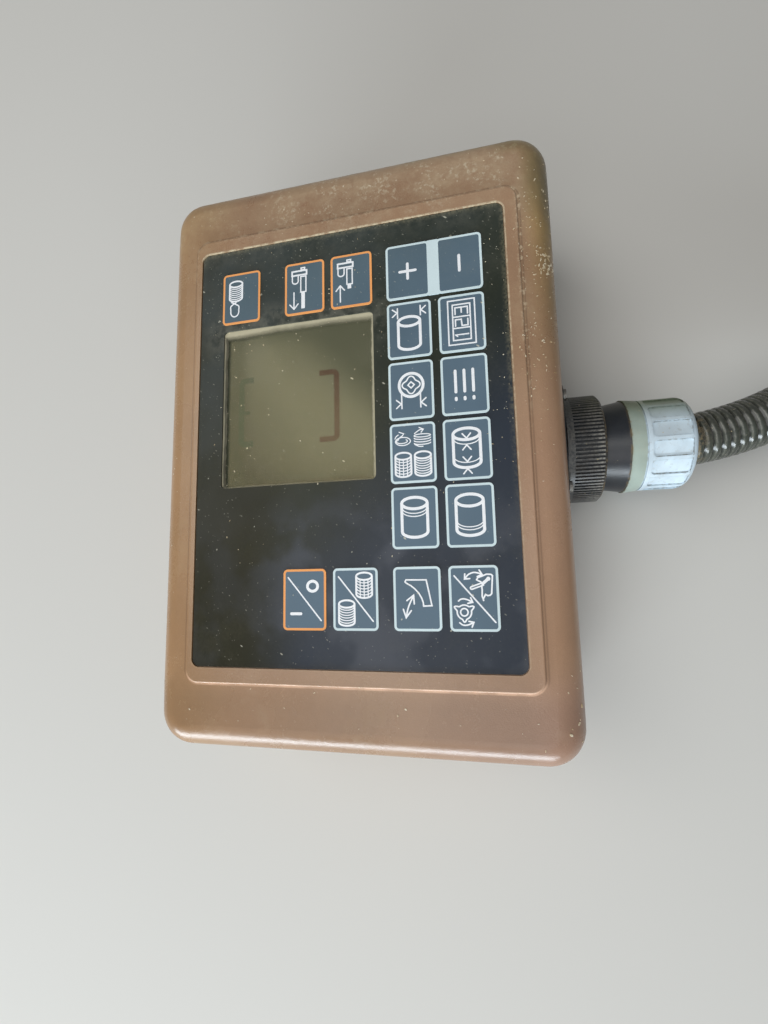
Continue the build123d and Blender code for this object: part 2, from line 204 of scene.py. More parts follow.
class KeypadSettings(bpy.types.PropertyGroup):
    """The keypad film and what is printed on it."""

    film: FloatVectorProperty(
        name="Film", description="Black film", default=(0.020, 0.0235, 0.0125), subtype="COLOR",
        min=0.0, max=1.0,
    )
    key: FloatVectorProperty(
        name="Key", description="Slate key face", default=(0.106, 0.163, 0.216), subtype="COLOR",
        min=0.0, max=1.0,
    )
    grey_frame: FloatVectorProperty(
        name="Grey frame", description="Light grey key frame", default=(0.66, 0.79, 0.82), subtype="COLOR",
        min=0.0, max=1.0,
    )
    orange_frame: FloatVectorProperty(
        name="Orange frame", description="Orange key frame", default=(0.92, 0.39, 0.125), subtype="COLOR",
        min=0.0, max=1.0,
    )
    symbol: FloatVectorProperty(
        name="Symbol", description="Printed symbols", default=(0.95, 0.97, 1.0), subtype="COLOR",
        min=0.0, max=1.0,
    )
    bold_line: FloatProperty(
        name="Bold line", description="Width of bold printed lines", default=0.0010, unit="LENGTH",
        precision=5,
    )
    fine_line: FloatProperty(
        name="Fine line", description="Width of fine printed lines", default=0.00050, unit="LENGTH",
        precision=5,
    )
    heavy_line: FloatProperty(
        name="Heavy line", description="Width of bars", default=0.00145, unit="LENGTH", precision=5,
    )
    medium_line: FloatProperty(
        name="Medium line", description="Width of medium printed lines", default=0.00065, unit="LENGTH",
        precision=5,
    )
    thin_line: FloatProperty(
        name="Thin line", description="Width of hatching and other thin lines", default=0.00036,
        unit="LENGTH", precision=5,
    )
    print_height: FloatProperty(
        name="Print height", description="How far the print stands up", default=0.00003, unit="LENGTH",
        precision=6,
    )


class DisplaySettings(bpy.types.PropertyGroup):
    """The unlit display and its pane."""

    face: FloatVectorProperty(
        name="Face", description="Olive-grey display", default=(0.150, 0.143, 0.086), subtype="COLOR",
        min=0.0, max=1.0,
    )
    upper_mark: FloatVectorProperty(
        name="Upper mark", description="Faint green bracket", default=(0.018, 0.042, 0.022), subtype="COLOR",
        min=0.0, max=1.0,
    )
    lower_mark: FloatVectorProperty(
        name="Lower mark", description="Faint red bracket", default=(0.072, 0.020, 0.014), subtype="COLOR",
        min=0.0, max=1.0,
    )


class PlugSettings(bpy.types.PropertyGroup):
    """The two plugs and their glands."""

    black: FloatVectorProperty(
        name="Black", description="Black moulding", default=(0.012, 0.016, 0.023), subtype="COLOR",
        min=0.0, max=1.0,
    )
    collar: FloatVectorProperty(
        name="Collar", description="Grey-green collar", default=(0.39, 0.475, 0.42), subtype="COLOR",
        min=0.0, max=1.0,
    )
    nut: FloatVectorProperty(
        name="Nut", description="Light blue-grey gland nut", default=(0.65, 0.78, 0.87), subtype="COLOR",
        min=0.0, max=1.0,
    )


class ConduitSettings(bpy.types.PropertyGroup):
    """The corrugated conduit."""

    plastic: FloatVectorProperty(
        name="Conduit", description="Dark grey conduit", default=(0.034, 0.038, 0.032), subtype="COLOR",
        min=0.0, max=1.0,
    )
    rib_pitch: FloatProperty(
        name="Rib pitch", description="Distance from rib to rib", default=0.00305, unit="LENGTH", precision=5,
    )
    rib_depth: FloatProperty(
        name="Rib depth", description="Depth between the ribs", default=0.00115, unit="LENGTH", precision=5,
    )
    sides: IntProperty(
        name="Sides", description="Points round the conduit", default=22, min=8, max=64,
    )


# Small helpers for meshes.
def new_piece(name, mesh, material, body="console"):
    """Links a mesh as a piece of the object with its material and body."""
    piece = bpy.data.objects.new(name, mesh)
    bpy.context.scene.collection.objects.link(piece)
    mesh.materials.append(material)
    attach(piece, body)
    return piece


def mesh_from(bm, name, smooth=True):
    """Turns a bmesh into a mesh with outward faces."""
    bmesh.ops.recalc_face_normals(bm, faces=bm.faces)
    mesh = bpy.data.meshes.new(name)
    bm.to_mesh(mesh)
    bm.free()
    mesh.shade_smooth() if smooth else mesh.shade_flat()
    return mesh


def finish_node(name, material):
    """Gives a CAD node its material."""
    node = frame["nodes"][name]
    node.data.materials.clear()
    node.data.materials.append(material)


# Small helpers for shader nodes. A value is a number, a colour or another node's output.
def add(tree, kind, values=None, **settings):
    """Adds a node with its settings, and fills or links its inputs."""
    made = tree.nodes.new(kind)
    for name, value in settings.items():
        setattr(made, name, value)
    for key, value in (values or {}).items():
        if isinstance(value, bpy.types.NodeSocket):
            tree.links.new(value, made.inputs[key])
        else:
            made.inputs[key].default_value = value
    return made


def calc(tree, operation, a, b=0.0, c=0.0, clamp=False):
    """One step of arithmetic."""
    node = add(tree, "ShaderNodeMath", {0: a, 1: b, 2: c}, operation=operation, use_clamp=clamp)
    return node.outputs[0]


def product(tree, first, *others):
    """Values multiplied one after another."""
    for other in others:
        first = calc(tree, "MULTIPLY", first, other)
    return first


def largest(tree, first, *others):
    """The largest of some values."""
    for other in others:
        first = calc(tree, "MAXIMUM", first, other)
    return first


def vector_calc(tree, operation, a, b=(0.0, 0.0, 0.0)):
    """One step of vector arithmetic."""
    return add(tree, "ShaderNodeVectorMath", {0: a, 1: b}, operation=operation)


def ramp(tree, value, low, high, to_low=0.0, to_high=1.0, smooth=True):
    """Maps low to high onto another range, clamped, smoothly by default."""
    node = add(
        tree, "ShaderNodeMapRange",
        {"Value": value, "From Min": low, "From Max": high, "To Min": to_low, "To Max": to_high},
        interpolation_type="SMOOTHSTEP" if smooth else "LINEAR",
    )
    return node.outputs[0]


def line_at(tree, value, middle, inner, outer, top=1.0):
    """A soft line where a value passes its middle: top up to inner from it, none past outer."""
    return ramp(tree, calc(tree, "ABSOLUTE", calc(tree, "SUBTRACT", value, middle)), inner, outer, top, 0.0)


def mix(tree, share, under, over, blend="MIX"):
    """Mixes two colours, each three numbers or another node's output."""
    under, over = (c if isinstance(c, bpy.types.NodeSocket) else (*c, 1.0) for c in (under, over))
    node = add(tree, "ShaderNodeMix", {0: share, 6: under, 7: over}, data_type="RGBA", blend_type=blend)
    return node.outputs[2]


def noise(tree, place, scale, detail=4.0, roughness=0.55):
    """A noise value between 0 and 1."""
    node = add(
        tree, "ShaderNodeTexNoise",
        {"Vector": place, "Scale": scale, "Detail": detail, "Roughness": roughness},
    )
    return node.outputs["Fac"]


def object_place(tree):
    """Position in the object's own frame, in metres."""
    return add(tree, "ShaderNodeTexCoord").outputs["Object"]


def place_parts(tree):
    """The x, y and z of that position."""
    return add(tree, "ShaderNodeSeparateXYZ", {0: object_place(tree)}).outputs


def shifted(tree, place, shift):
    """A place moved as far on each axis, which gives another part of a pattern."""
    amounts = add(tree, "ShaderNodeCombineXYZ", {0: shift, 1: shift, 2: shift}).outputs[0]
    return vector_calc(tree, "ADD", place, amounts).outputs[0]


def new_group(name, inputs, outputs):
    """An empty shader group with its sockets, and its two end nodes. Rows are name, socket kind, default."""
    tree = bpy.data.node_groups.new(name, "ShaderNodeTree")
    for label, kind, default in inputs:
        socket = tree.interface.new_socket(label, in_out="INPUT", socket_type=kind)
        socket.default_value = default
    for label, kind in outputs:
        tree.interface.new_socket(label, in_out="OUTPUT", socket_type=kind)
    return tree, tree.nodes.new("NodeGroupInput").outputs, tree.nodes.new("NodeGroupOutput").inputs


def use(tree, group, values=None):
    """Places a shader group and gives its outputs."""
    return add(tree, "ShaderNodeGroup", values, node_tree=bpy.data.node_groups[group]).outputs


def patches(tree, size, shift=0.0):
    """Tone of broad patches of about the size in metres. Another shift gives other patches."""
    return use(tree, "broad_patches", {"Patch Size": size, "Shift": shift})["Tone"]


def from_outline(tree, centre, half, corner):
    """Distance from a rounded rectangle in plan, negative inside, from its centre, half size and corner."""
    values = {"Centre": tuple(centre), "Half Size": tuple(half), "Corner": corner}
    return use(tree, "panel_outline", values)["Distance"]


NUMBER = "NodeSocketFloat"
VECTOR = "NodeSocketVector"


def group_settled_dust():
    """Dust film, and loose specks and slivers, that lie on what faces up."""
    tree, given, result = new_group(
        "settled_dust",
        [("Film Scale", NUMBER, 40.0), ("Film Amount", NUMBER, 0.4), ("Speck Scale", NUMBER, 300.0),
         ("Speck Amount", NUMBER, 0.2), ("Speck Size", NUMBER, 0.14), ("Shift", NUMBER, 0.0)],
        [("Film", NUMBER), ("Specks", NUMBER)],
    )
    ends = add(tree, "ShaderNodeTexCoord").outputs
    place = shifted(tree, ends["Object"], given["Shift"])
    facing = add(tree, "ShaderNodeSeparateXYZ", {0: ends["Normal"]}).outputs[2]
    up = ramp(tree, facing, -0.1, 0.75)
    broad = noise(tree, place, given["Film Scale"], 6.0, 0.62)
    fine_scale = product(tree, given["Film Scale"], 14.0)
    fine = noise(tree, place, fine_scale, 3.0, 0.6)
    film = calc(tree, "ADD", product(tree, broad, 0.72), product(tree, fine, 0.28))
    edge = calc(tree, "SUBTRACT", 1.0, given["Film Amount"])
    low = calc(tree, "SUBTRACT", edge, 0.16)
    high = calc(tree, "ADD", edge, 0.16)
    film = ramp(tree, film, low, high)
    tree.links.new(product(tree, film, up), result["Film"])
    ragged = add(tree, "ShaderNodeTexNoise", {"Vector": place, "Scale": 3500.0, "Detail": 1.0})
    ragged = vector_calc(tree, "SCALE", ragged.outputs["Color"])
    ragged.inputs["Scale"].default_value = 0.00022
    bent = vector_calc(tree, "ADD", place, ragged.outputs[0]).outputs[0]
    specks = None
    for turn, stretch in ((0.6, 0.42), (-0.9, 0.78)):
        turned = add(
            tree, "ShaderNodeVectorRotate", {"Vector": bent, "Angle": turn}, rotation_type="Z_AXIS",
        ).outputs[0]
        long = vector_calc(tree, "MULTIPLY", turned, (1.0, stretch, 1.0)).outputs[0]
        cells = add(tree, "ShaderNodeTexVoronoi", {"Vector": long, "Scale": given["Speck Scale"]})
        chance = add(tree, "ShaderNodeSeparateColor", {0: cells.outputs["Color"]}).outputs
        share = calc(tree, "POWER", chance[0], 2.0)
        size = product(tree, given["Speck Size"], ramp(tree, share, 0.0, 1.0, 0.3, 1.0, smooth=False))
        inner = product(tree, size, 0.6)
        spot = ramp(tree, cells.outputs["Distance"], inner, size, 1.0, 0.0)
        present = calc(tree, "LESS_THAN", chance[1], given["Speck Amount"])
        strength = ramp(tree, chance[2], 0.0, 1.0, 0.2, 1.0, smooth=False)
        one = product(tree, spot, present, product(tree, strength, up))
        specks = one if specks is None else largest(tree, specks, one)
    tree.links.new(specks, result["Specks"])


def group_moulded_grain():
    """Fine pebbled grain of a spark-eroded mould, as a height from 0 to 1."""
    tree, given, result = new_group("moulded_grain", [("Grain Size", NUMBER, 0.0005)], [("Height", NUMBER)])
    scale = calc(tree, "DIVIDE", 1.0, given["Grain Size"])
    place = object_place(tree)
    pebbles = add(
        tree, "ShaderNodeTexVoronoi", {"Vector": place, "Scale": scale, "Smoothness": 0.6},
        feature="SMOOTH_F1",
    ).outputs["Distance"]
    fuzz = noise(tree, place, product(tree, scale, 1.7), 2.0)
    height = calc(tree, "SUBTRACT", product(tree, fuzz, 0.6), product(tree, pebbles, 0.7))
    tree.links.new(calc(tree, "ADD", height, 0.5), result["Height"])


def group_broad_patches():
    """Slow changes of tone over a surface, from 0 to 1."""
    tree, given, result = new_group(
        "broad_patches", [("Patch Size", NUMBER, 0.03), ("Shift", NUMBER, 0.0)], [("Tone", NUMBER)]
    )
    place = shifted(tree, object_place(tree), given["Shift"])
    value = noise(tree, place, calc(tree, "DIVIDE", 1.0, given["Patch Size"]), 3.0, 0.5)
    tree.links.new(ramp(tree, value, 0.3, 0.7), result["Tone"])


def group_scuff_lines():
    """Thin scratches in two directions, in patches."""
    tree, given, result = new_group(
        "scuff_lines", [("Scale", NUMBER, 60.0), ("Amount", NUMBER, 0.3), ("Turn", NUMBER, 0.5)],
        [("Scratches", NUMBER)],
    )
    place = object_place(tree)
    total = None
    for number, extra in enumerate((0.0, 1.9)):
        angle = calc(tree, "ADD", given["Turn"], extra)
        turned = add(
            tree, "ShaderNodeVectorRotate", {"Vector": place, "Angle": angle}, rotation_type="Z_AXIS",
        ).outputs[0]
        stretched = vector_calc(tree, "MULTIPLY", turned, (1.0, 34.0, 8.0)).outputs[0]
        lines = noise(tree, stretched, given["Scale"], 1.0)
        off = calc(tree, "ABSOLUTE", calc(tree, "SUBTRACT", lines, 0.5))
        thin = ramp(tree, off, 0.0, 0.012, 1.0, 0.0)
        where = noise(tree, place, product(tree, given["Scale"], 1.3 + number), 2.0)
        edge = calc(tree, "SUBTRACT", 1.0, given["Amount"])
        held = ramp(tree, where, edge, calc(tree, "ADD", edge, 0.08))
        line = product(tree, thin, held)
        total = line if total is None else largest(tree, total, line)
    tree.links.new(total, result["Scratches"])


def group_panel_outline():
    """Signed distance to a rounded rectangle in plan, negative inside."""
    tree, given, result = new_group(
        "panel_outline",
        [
            ("Centre", VECTOR, (0.0, 0.0, 0.0)), ("Half Size", VECTOR, (0.1, 0.1, 0.0)),
            ("Corner", NUMBER, 0.004),
        ],
        [("Distance", NUMBER)],
    )
    away = vector_calc(tree, "SUBTRACT", object_place(tree), given["Centre"]).outputs[0]
    away = vector_calc(tree, "ABSOLUTE", away).outputs[0]
    corner = add(tree, "ShaderNodeCombineXYZ", {0: given["Corner"], 1: given["Corner"]}).outputs[0]
    core = vector_calc(tree, "SUBTRACT", given["Half Size"], corner).outputs[0]
    past = vector_calc(tree, "SUBTRACT", away, core).outputs[0]
    flat = vector_calc(tree, "MULTIPLY", past, (1.0, 1.0, 0.0)).outputs[0]
    outside = vector_calc(tree, "MAXIMUM", flat).outputs[0]
    length = vector_calc(tree, "LENGTH", outside).outputs["Value"]
    parts = add(tree, "ShaderNodeSeparateXYZ", {0: flat}).outputs
    inside = calc(tree, "MINIMUM", largest(tree, parts[0], parts[1]), 0.0)
    distance = calc(tree, "SUBTRACT", calc(tree, "ADD", length, inside), given["Corner"])
    tree.links.new(distance, result["Distance"])


def group_round_about():
    """Distance from an axis, place along it, and angle about it from a reference direction."""
    tree, given, result = new_group(
        "round_about",
        [("Origin", VECTOR, (0.0, 0.0, 0.0)), ("Direction", VECTOR, (0.0, 0.0, 1.0)),
         ("Reference", VECTOR, (1.0, 0.0, 0.0))],
        [("Radius", NUMBER), ("Along", NUMBER), ("Angle", NUMBER)],
    )
    away = vector_calc(tree, "SUBTRACT", object_place(tree), given["Origin"]).outputs[0]
    along = vector_calc(tree, "DOT_PRODUCT", away, given["Direction"]).outputs["Value"]
    on_axis = vector_calc(tree, "SCALE", given["Direction"])
    tree.links.new(along, on_axis.inputs["Scale"])
    radial = vector_calc(tree, "SUBTRACT", away, on_axis.outputs[0]).outputs[0]
    side = vector_calc(tree, "CROSS_PRODUCT", given["Direction"], given["Reference"]).outputs[0]
    across = vector_calc(tree, "DOT_PRODUCT", radial, side).outputs["Value"]
    ahead = vector_calc(tree, "DOT_PRODUCT", radial, given["Reference"]).outputs["Value"]
    tree.links.new(vector_calc(tree, "LENGTH", radial).outputs["Value"], result["Radius"])
    tree.links.new(along, result["Along"])
    tree.links.new(calc(tree, "ARCTAN2", across, ahead), result["Angle"])


def new_material(name):
    """A material with its Principled shader. Gives the material, its tree and the shader."""
    made = bpy.data.materials.new(name)
    made.use_nodes = True
    shader = made.node_tree.nodes["Principled BSDF"]
    return made, made.node_tree, shader


def connect(tree, shader, **values):
    """Links or sets the shader's inputs by name, with _ for a space."""
    for key, value in values.items():
        name = key.replace("_", " ")
        if isinstance(value, bpy.types.NodeSocket):
            tree.links.new(value, shader.inputs[name])
        else:
            shader.inputs[name].default_value = value


def bump(tree, height, depth, strength=1.0):
    """A normal from a height between 0 and 1 and its depth in metres."""
    node = add(tree, "ShaderNodeBump", {"Height": height, "Distance": depth, "Strength": strength})
    return node.outputs[0]


# Materials of the housing.
def brown_moulding():
    """Grained brown plastic with tone changes, settled dust, painted sheen, highlight and shade, chips,
    crumbs and scratches.
    """
    look = bpy.context.scene.console_housing
    material, tree, shader = new_material("brown_moulding")
    plastic = Vector(look.plastic)
    x, y = place_parts(tree)[:2]
    tone = patches(tree, 0.045)
    colour = mix(tree, tone, plastic * 0.91, plastic * 1.08)
    fine_tone = patches(tree, 0.004, 0.3)
    colour = mix(tree, product(tree, fine_tone, 0.2), colour, plastic * 1.2)
    grain = use(tree, "moulded_grain", {"Grain Size": look.grain_size})["Height"]
    colour = mix(tree, ramp(tree, grain, 0.3, 0.75, 0.78, 1.0), plastic * 0.78, colour)

    # Dust lies thickest towards the right end and along the lower border.
    right_end = ramp(tree, x, 0.050, 0.104)
    lower_side = ramp(tree, y, -0.058, -0.066)
    lower_right = product(tree, lower_side, ramp(tree, x, -0.02, 0.07))
    dusty = largest(tree, right_end, lower_right)
    amount = ramp(tree, dusty, 0.0, 1.0, 0.30, 0.46, smooth=False)
    specky = ramp(tree, dusty, 0.0, 1.0, 0.06, 0.34, smooth=False)
    dust = use(tree, "settled_dust", {"Film Scale": 34.0, "Film Amount": amount, "Speck Scale": 420.0,
                                      "Speck Amount": specky, "Speck Size": 0.15})
    fine = use(tree, "settled_dust", {"Film Scale": 110.0, "Film Amount": amount, "Speck Scale": 1100.0,
                                      "Speck Amount": specky, "Speck Size": 0.22, "Shift": 0.7})
    film = largest(tree, dust["Film"], product(tree, fine["Film"], 0.7))
    dusty_end = product(tree, right_end, ramp(tree, y, 0.050, -0.010, 0.12, 1.0))
    film_share = product(tree, film, ramp(tree, dusty_end, 0.0, 1.0, 0.26, 0.50))
    dust_colour = mix(tree, dusty_end, look.dust, (0.62, 0.50, 0.33))
    colour = mix(tree, film_share, colour, dust_colour)

    # Powder lies in clusters near the right edge.
    powdery = patches(tree, 0.010, 5.2)
    powder = product(
        tree, ramp(tree, powdery, 0.35, 0.85), ramp(tree, x, 0.078, 0.094),
        ramp(tree, y, 0.055, -0.005, 0.30, 1.0),
        ramp(tree, noise(tree, object_place(tree), 620.0, 5.0, 0.7), 0.50, 0.62),
    )
    colour = mix(tree, product(tree, powder, 0.65), colour, (0.62, 0.53, 0.38))
    grey = patches(tree, 0.028, 4.0)
    colour = mix(tree, product(tree, grey, 0.06), colour, (0.42, 0.35, 0.26))

    # The tone drifts warmer at the top. Painted light and shade: a bluish sky sheen at the lower left, shade
    # along the left edge, a pale sheen along the bottom and an olive cast at the lower right that goes with
    # the painted rim shade.
    lower_left = product(tree, ramp(tree, x, -0.075, -0.095), ramp(tree, y, 0.0, -0.06))
    outer = from_outline(tree, (0.0, 0.0, 0.0), (case_high.x, case_high.y, 0.0), case_corner)
    bottom = ramp(tree, y, -0.055, -0.067)
    olive = product(tree, bottom, ramp(tree, x, 0.01, 0.09), ramp(tree, outer, -0.012, -0.004))
    pale = product(tree, bottom, ramp(tree, x, 0.03, -0.02), ramp(tree, x, -0.065, -0.035, 0.6, 1.0))
    tints = (
        # where, what multiplies the colour there
        (ramp(tree, y, 0.035, 0.072), (1.04, 1.0, 0.84)),
        (lower_left, (0.98, 0.99, 1.13)),
        (ramp(tree, x, -0.083, -0.094), (0.84, 0.83, 0.81)),
        (pale, (1.22, 1.20, 1.27)),
        (olive, (1.07, 1.03, 0.68)),
    )
    for where, tint in tints:
        colour = mix(tree, where, colour, tint, "MULTIPLY")

    # Painted olive shade lies on the rounded rim, most towards the right end and the lower side, and the far
    # lower corner turns darker olive-brown.
    on_edge = ramp(tree, outer, -0.0075, -0.0015)
    blotch = patches(tree, 0.013, 1.1)
    painted_rim_shade = product(
        tree, on_edge, ramp(tree, x, -0.005, 0.098), ramp(tree, y, 0.055, -0.055, 0.25, 1.0),
        ramp(tree, blotch, 0.0, 1.0, 0.45, 1.0),
    )
    colour = mix(tree, product(tree, painted_rim_shade, 0.72), colour, (0.135, 0.106, 0.030))
    far_corner = product(
        tree, ramp(tree, x, 0.070, 0.086), ramp(tree, y, -0.053, -0.064), ramp(tree, outer, -0.013, -0.006),
        ramp(tree, blotch, 0.0, 1.0, 0.60, 0.95),
    )
    colour = mix(tree, far_corner, colour, (0.165, 0.125, 0.062))

    # The raised field's step: a painted highlight, partly wear, along the left; painted shade at its foot
    # elsewhere; chipped and dusty below.
    step = from_outline(tree, field_centre, field_half, field_corner)
    left_side = ramp(tree, x, -field_half[0] + 0.0045, -field_half[0] + 0.0005)
    broken = patches(tree, 0.007, 2.0)
    # Painted highlight on the left edge of the step, broken in patches like wear.
    rubbed = line_at(tree, step, 0.0001, 0.0003, 0.0009)
    rubbed = product(tree, rubbed, product(tree, left_side, ramp(tree, broken, 0.0, 1.0, 0.45, 0.85)))
    colour = mix(tree, rubbed, colour, plastic * 2.0 + Vector((0.0, 0.04, 0.07)))
    # Painted shade at the step's foot, away from the lit left side.
    foot = line_at(tree, step, 0.0009, 0.00005, 0.0004)
    foot = product(tree, foot, calc(tree, "SUBTRACT", 1.0, left_side))
    colour = mix(tree, product(tree, foot, 0.36), colour, plastic * 0.3)
    chips = noise(tree, object_place(tree), 420.0, 4.0, 0.7)
    chipped = line_at(tree, step, 0.0002, 0.0003, 0.0016)
    chipped = product(
        tree, chipped, largest(tree, lower_right, product(tree, right_end, 0.5)),
        ramp(tree, chips, 0.50, 0.60),
    )
    colour = mix(tree, product(tree, chipped, 0.8), colour, (0.66, 0.53, 0.36))

    # A pale dusty line round the keypad recess, strongest on the right.
    rim = from_outline(tree, keypad_centre, overlay_half, overlay_corner)
    rim_line = line_at(tree, rim, 0.0004, 0.0001, 0.0005)
    right_rim = ramp(tree, x, overlay_half.x - 0.003, overlay_half.x - 0.0005)
    lower_rim = product(
        tree, ramp(tree, y, -overlay_half.y + 0.003, -overlay_half.y + 0.0005),
        ramp(tree, x, -0.06, 0.05, 0.25, 0.8),
    )
    rim_dust = largest(tree, right_rim, lower_rim, 0.06)
    rim_dust = product(tree, rim_dust, ramp(tree, chips, 0.38, 0.58, 0.2, 1.0))
    colour = mix(tree, product(tree, rim_line, rim_dust), colour, (0.64, 0.53, 0.36))

    scratches = use(tree, "scuff_lines", {"Scale": 42.0, "Amount": 0.36, "Turn": 0.7})["Scratches"]
    colour = mix(tree, product(tree, scratches, 0.3), colour, plastic * 1.7)
    specks = largest(tree, dust["Specks"], product(tree, fine["Specks"], 0.6))
    colour = mix(tree, product(tree, specks, 0.85), colour, (0.74, 0.64, 0.47))
    rough = ramp(tree, tone, 0.0, 1.0, 0.24, 0.29, smooth=False)
    rough = calc(tree, "ADD", rough, product(tree, film, 0.3), clamp=True)
    height = calc(tree, "SUBTRACT", grain, product(tree, scratches, 0.4))
    height = calc(tree, "ADD", height, product(tree, specks, 2.0))
    connect(tree, shader, Base_Color=colour, Roughness=rough, Normal=bump(tree, height, look.grain_depth))
    return material


def soft_rubber():
    """Matt black gasket with a dusty bloom."""
    material, tree, shader = new_material("soft_rubber")
    tone = patches(tree, 0.006)
    colour = mix(tree, tone, (0.016, 0.016, 0.016), (0.035, 0.032, 0.028))
    grain = use(tree, "moulded_grain", {"Grain Size": 0.0003})["Height"]
    connect(tree, shader, Base_Color=colour, Roughness=0.8, Normal=bump(tree, grain, 0.00002))
    return material


def dull_metal(name, colour, tarnish, roughness):
    """A plated or cast fastener metal with tarnish in patches and fine turning marks."""
    material, tree, shader = new_material(name)
    tone = patches(tree, 0.0025)
    mixed = mix(tree, product(tree, tone, 0.6), colour, tarnish)
    rough = ramp(tree, tone, 0.0, 1.0, roughness, roughness + 0.2, smooth=False)
    place = vector_calc(tree, "MULTIPLY", object_place(tree), (1.0, 1.0, 22.0)).outputs[0]
    marks = noise(tree, place, 900.0, 2.0)
    connect(tree, shader, Base_Color=mixed, Roughness=rough, Metallic=1.0, Normal=bump(tree, marks, 0.00002))
    return material


# Materials of the keypad and display.
def printed_film(name, colour, gloss, speck_share, edge_dust=False, haze_and_sheen=0.0, fade=(1.0, 1.0, 1.0)):
    """Satin printed film: fine texture, dust specks and faint smears. With edge_dust, dust lies along the
    keypad's edge. Towards the upper right its colour is multiplied by fade. Where the haze and sheen share is
    set, a painted bluish reflection lies on its left, its top is darker and more olive, it is paler in clouds
    towards the upper right and dust gathers by the display window."""
    material, tree, shader = new_material(name)
    base = Vector(colour)
    x, y = place_parts(tree)[:2]
    smear = patches(tree, 0.022, 0.7)
    mixed = mix(tree, smear, base * 0.95, base * 1.05 + Vector((0.002, 0.002, 0.002)))
    towards = ramp(tree, calc(tree, "ADD", x, product(tree, y, 0.6)), -0.02, 0.095)
    mixed = mix(tree, towards, mixed, fade, "MULTIPLY")
    if haze_and_sheen:
        # Painted reflection: bluer on the left, and lighter in clouds there. The top is darker and more
        # olive.
        left = ramp(tree, calc(tree, "ADD", x, y), 0.005, -0.065)
        cloud = patches(tree, 0.017, 3.1)
        mixed = mix(tree, left, mixed, (0.025, 0.033, 0.048))
        mixed = mix(tree, ramp(tree, y, 0.012, 0.040), mixed, (0.012, 0.011, 0.0))
        blue = product(
            tree, ramp(tree, x, -0.015, -0.045), ramp(tree, cloud, 0.25, 1.0),
            ramp(tree, y, 0.040, 0.012, 0.2, 1.0),
        )
        mixed = mix(tree, product(tree, blue, haze_and_sheen), mixed, (0.060, 0.068, 0.086))
        pale = product(tree, towards, ramp(tree, cloud, 0.0, 1.0, 1.0, 0.6))
        mixed = mix(tree, product(tree, pale, haze_and_sheen), mixed, (0.044, 0.055, 0.053))
        window = from_outline(tree, window_centre, (window_half_x, window_half_y, 0.0), window_corner)
        by_window = product(tree, ramp(tree, window, 0.013, 0.0), ramp(tree, x, 0.030, 0.045))
        by_window = largest(tree, by_window, ramp(tree, x, 0.070, 0.084, 0.0, 0.6))
        smudge = noise(tree, object_place(tree), 260.0, 5.0, 0.65)
        by_window = product(tree, by_window, ramp(tree, smudge, 0.35, 0.65, 0.0, 0.24))
        mixed = mix(tree, by_window, mixed, (0.30, 0.29, 0.23))
    share = ramp(tree, towards, 0.0, 1.0, speck_share, speck_share * 2.2, smooth=False)
    dust = use(tree, "settled_dust", {"Film Scale": 60.0, "Film Amount": 0.40, "Speck Scale": 330.0,
                                      "Speck Amount": share, "Speck Size": 0.15, "Shift": 0.5})
    fine = use(tree, "settled_dust", {"Film Scale": 24.0, "Film Amount": 0.36, "Speck Scale": 1000.0,
                                      "Speck Amount": product(tree, share, 1.6), "Speck Size": 0.24,
                                      "Shift": 0.9})
    mixed = mix(tree, product(tree, dust["Film"], 0.05), mixed, (0.42, 0.38, 0.26))
    if edge_dust:
        distance = from_outline(tree, keypad_centre, overlay_half, overlay_corner)
        line = ramp(tree, distance, -0.0022, 0.0, 0.0, 0.22)
        ragged = patches(tree, 0.0008, 1.4)
        where = largest(
            tree, ramp(tree, x, 0.072, 0.081),
            product(tree, ramp(tree, y, -0.052, -0.059), ramp(tree, x, -0.06, 0.03)), 0.12,
        )
        line = product(tree, line, where, ragged)
        mixed = mix(tree, line, mixed, (0.45, 0.40, 0.25))
    specks = largest(tree, dust["Specks"], product(tree, fine["Specks"], 0.35))
    mixed = mix(tree, product(tree, specks, 0.8), mixed, (0.66, 0.64, 0.52))
    scratches = use(tree, "scuff_lines", {"Scale": 60.0, "Amount": 0.33, "Turn": 0.2})["Scratches"]
    mixed = mix(tree, product(tree, scratches, 0.08), mixed, (0.35, 0.36, 0.36))
    rough = ramp(tree, smear, 0.0, 1.0, gloss, gloss + 0.10, smooth=False)
    rough = calc(tree, "ADD", rough, product(tree, dust["Film"], 0.25), clamp=True)
    texture = noise(tree, object_place(tree), 2600.0, 2.0)
    height = calc(tree, "ADD", texture, product(tree, specks, 1.5))
    connect(tree, shader, Base_Color=mixed, Roughness=rough, Normal=bump(tree, height, 0.000010))
    shader.inputs["Specular IOR Level"].default_value = 0.23
    return material


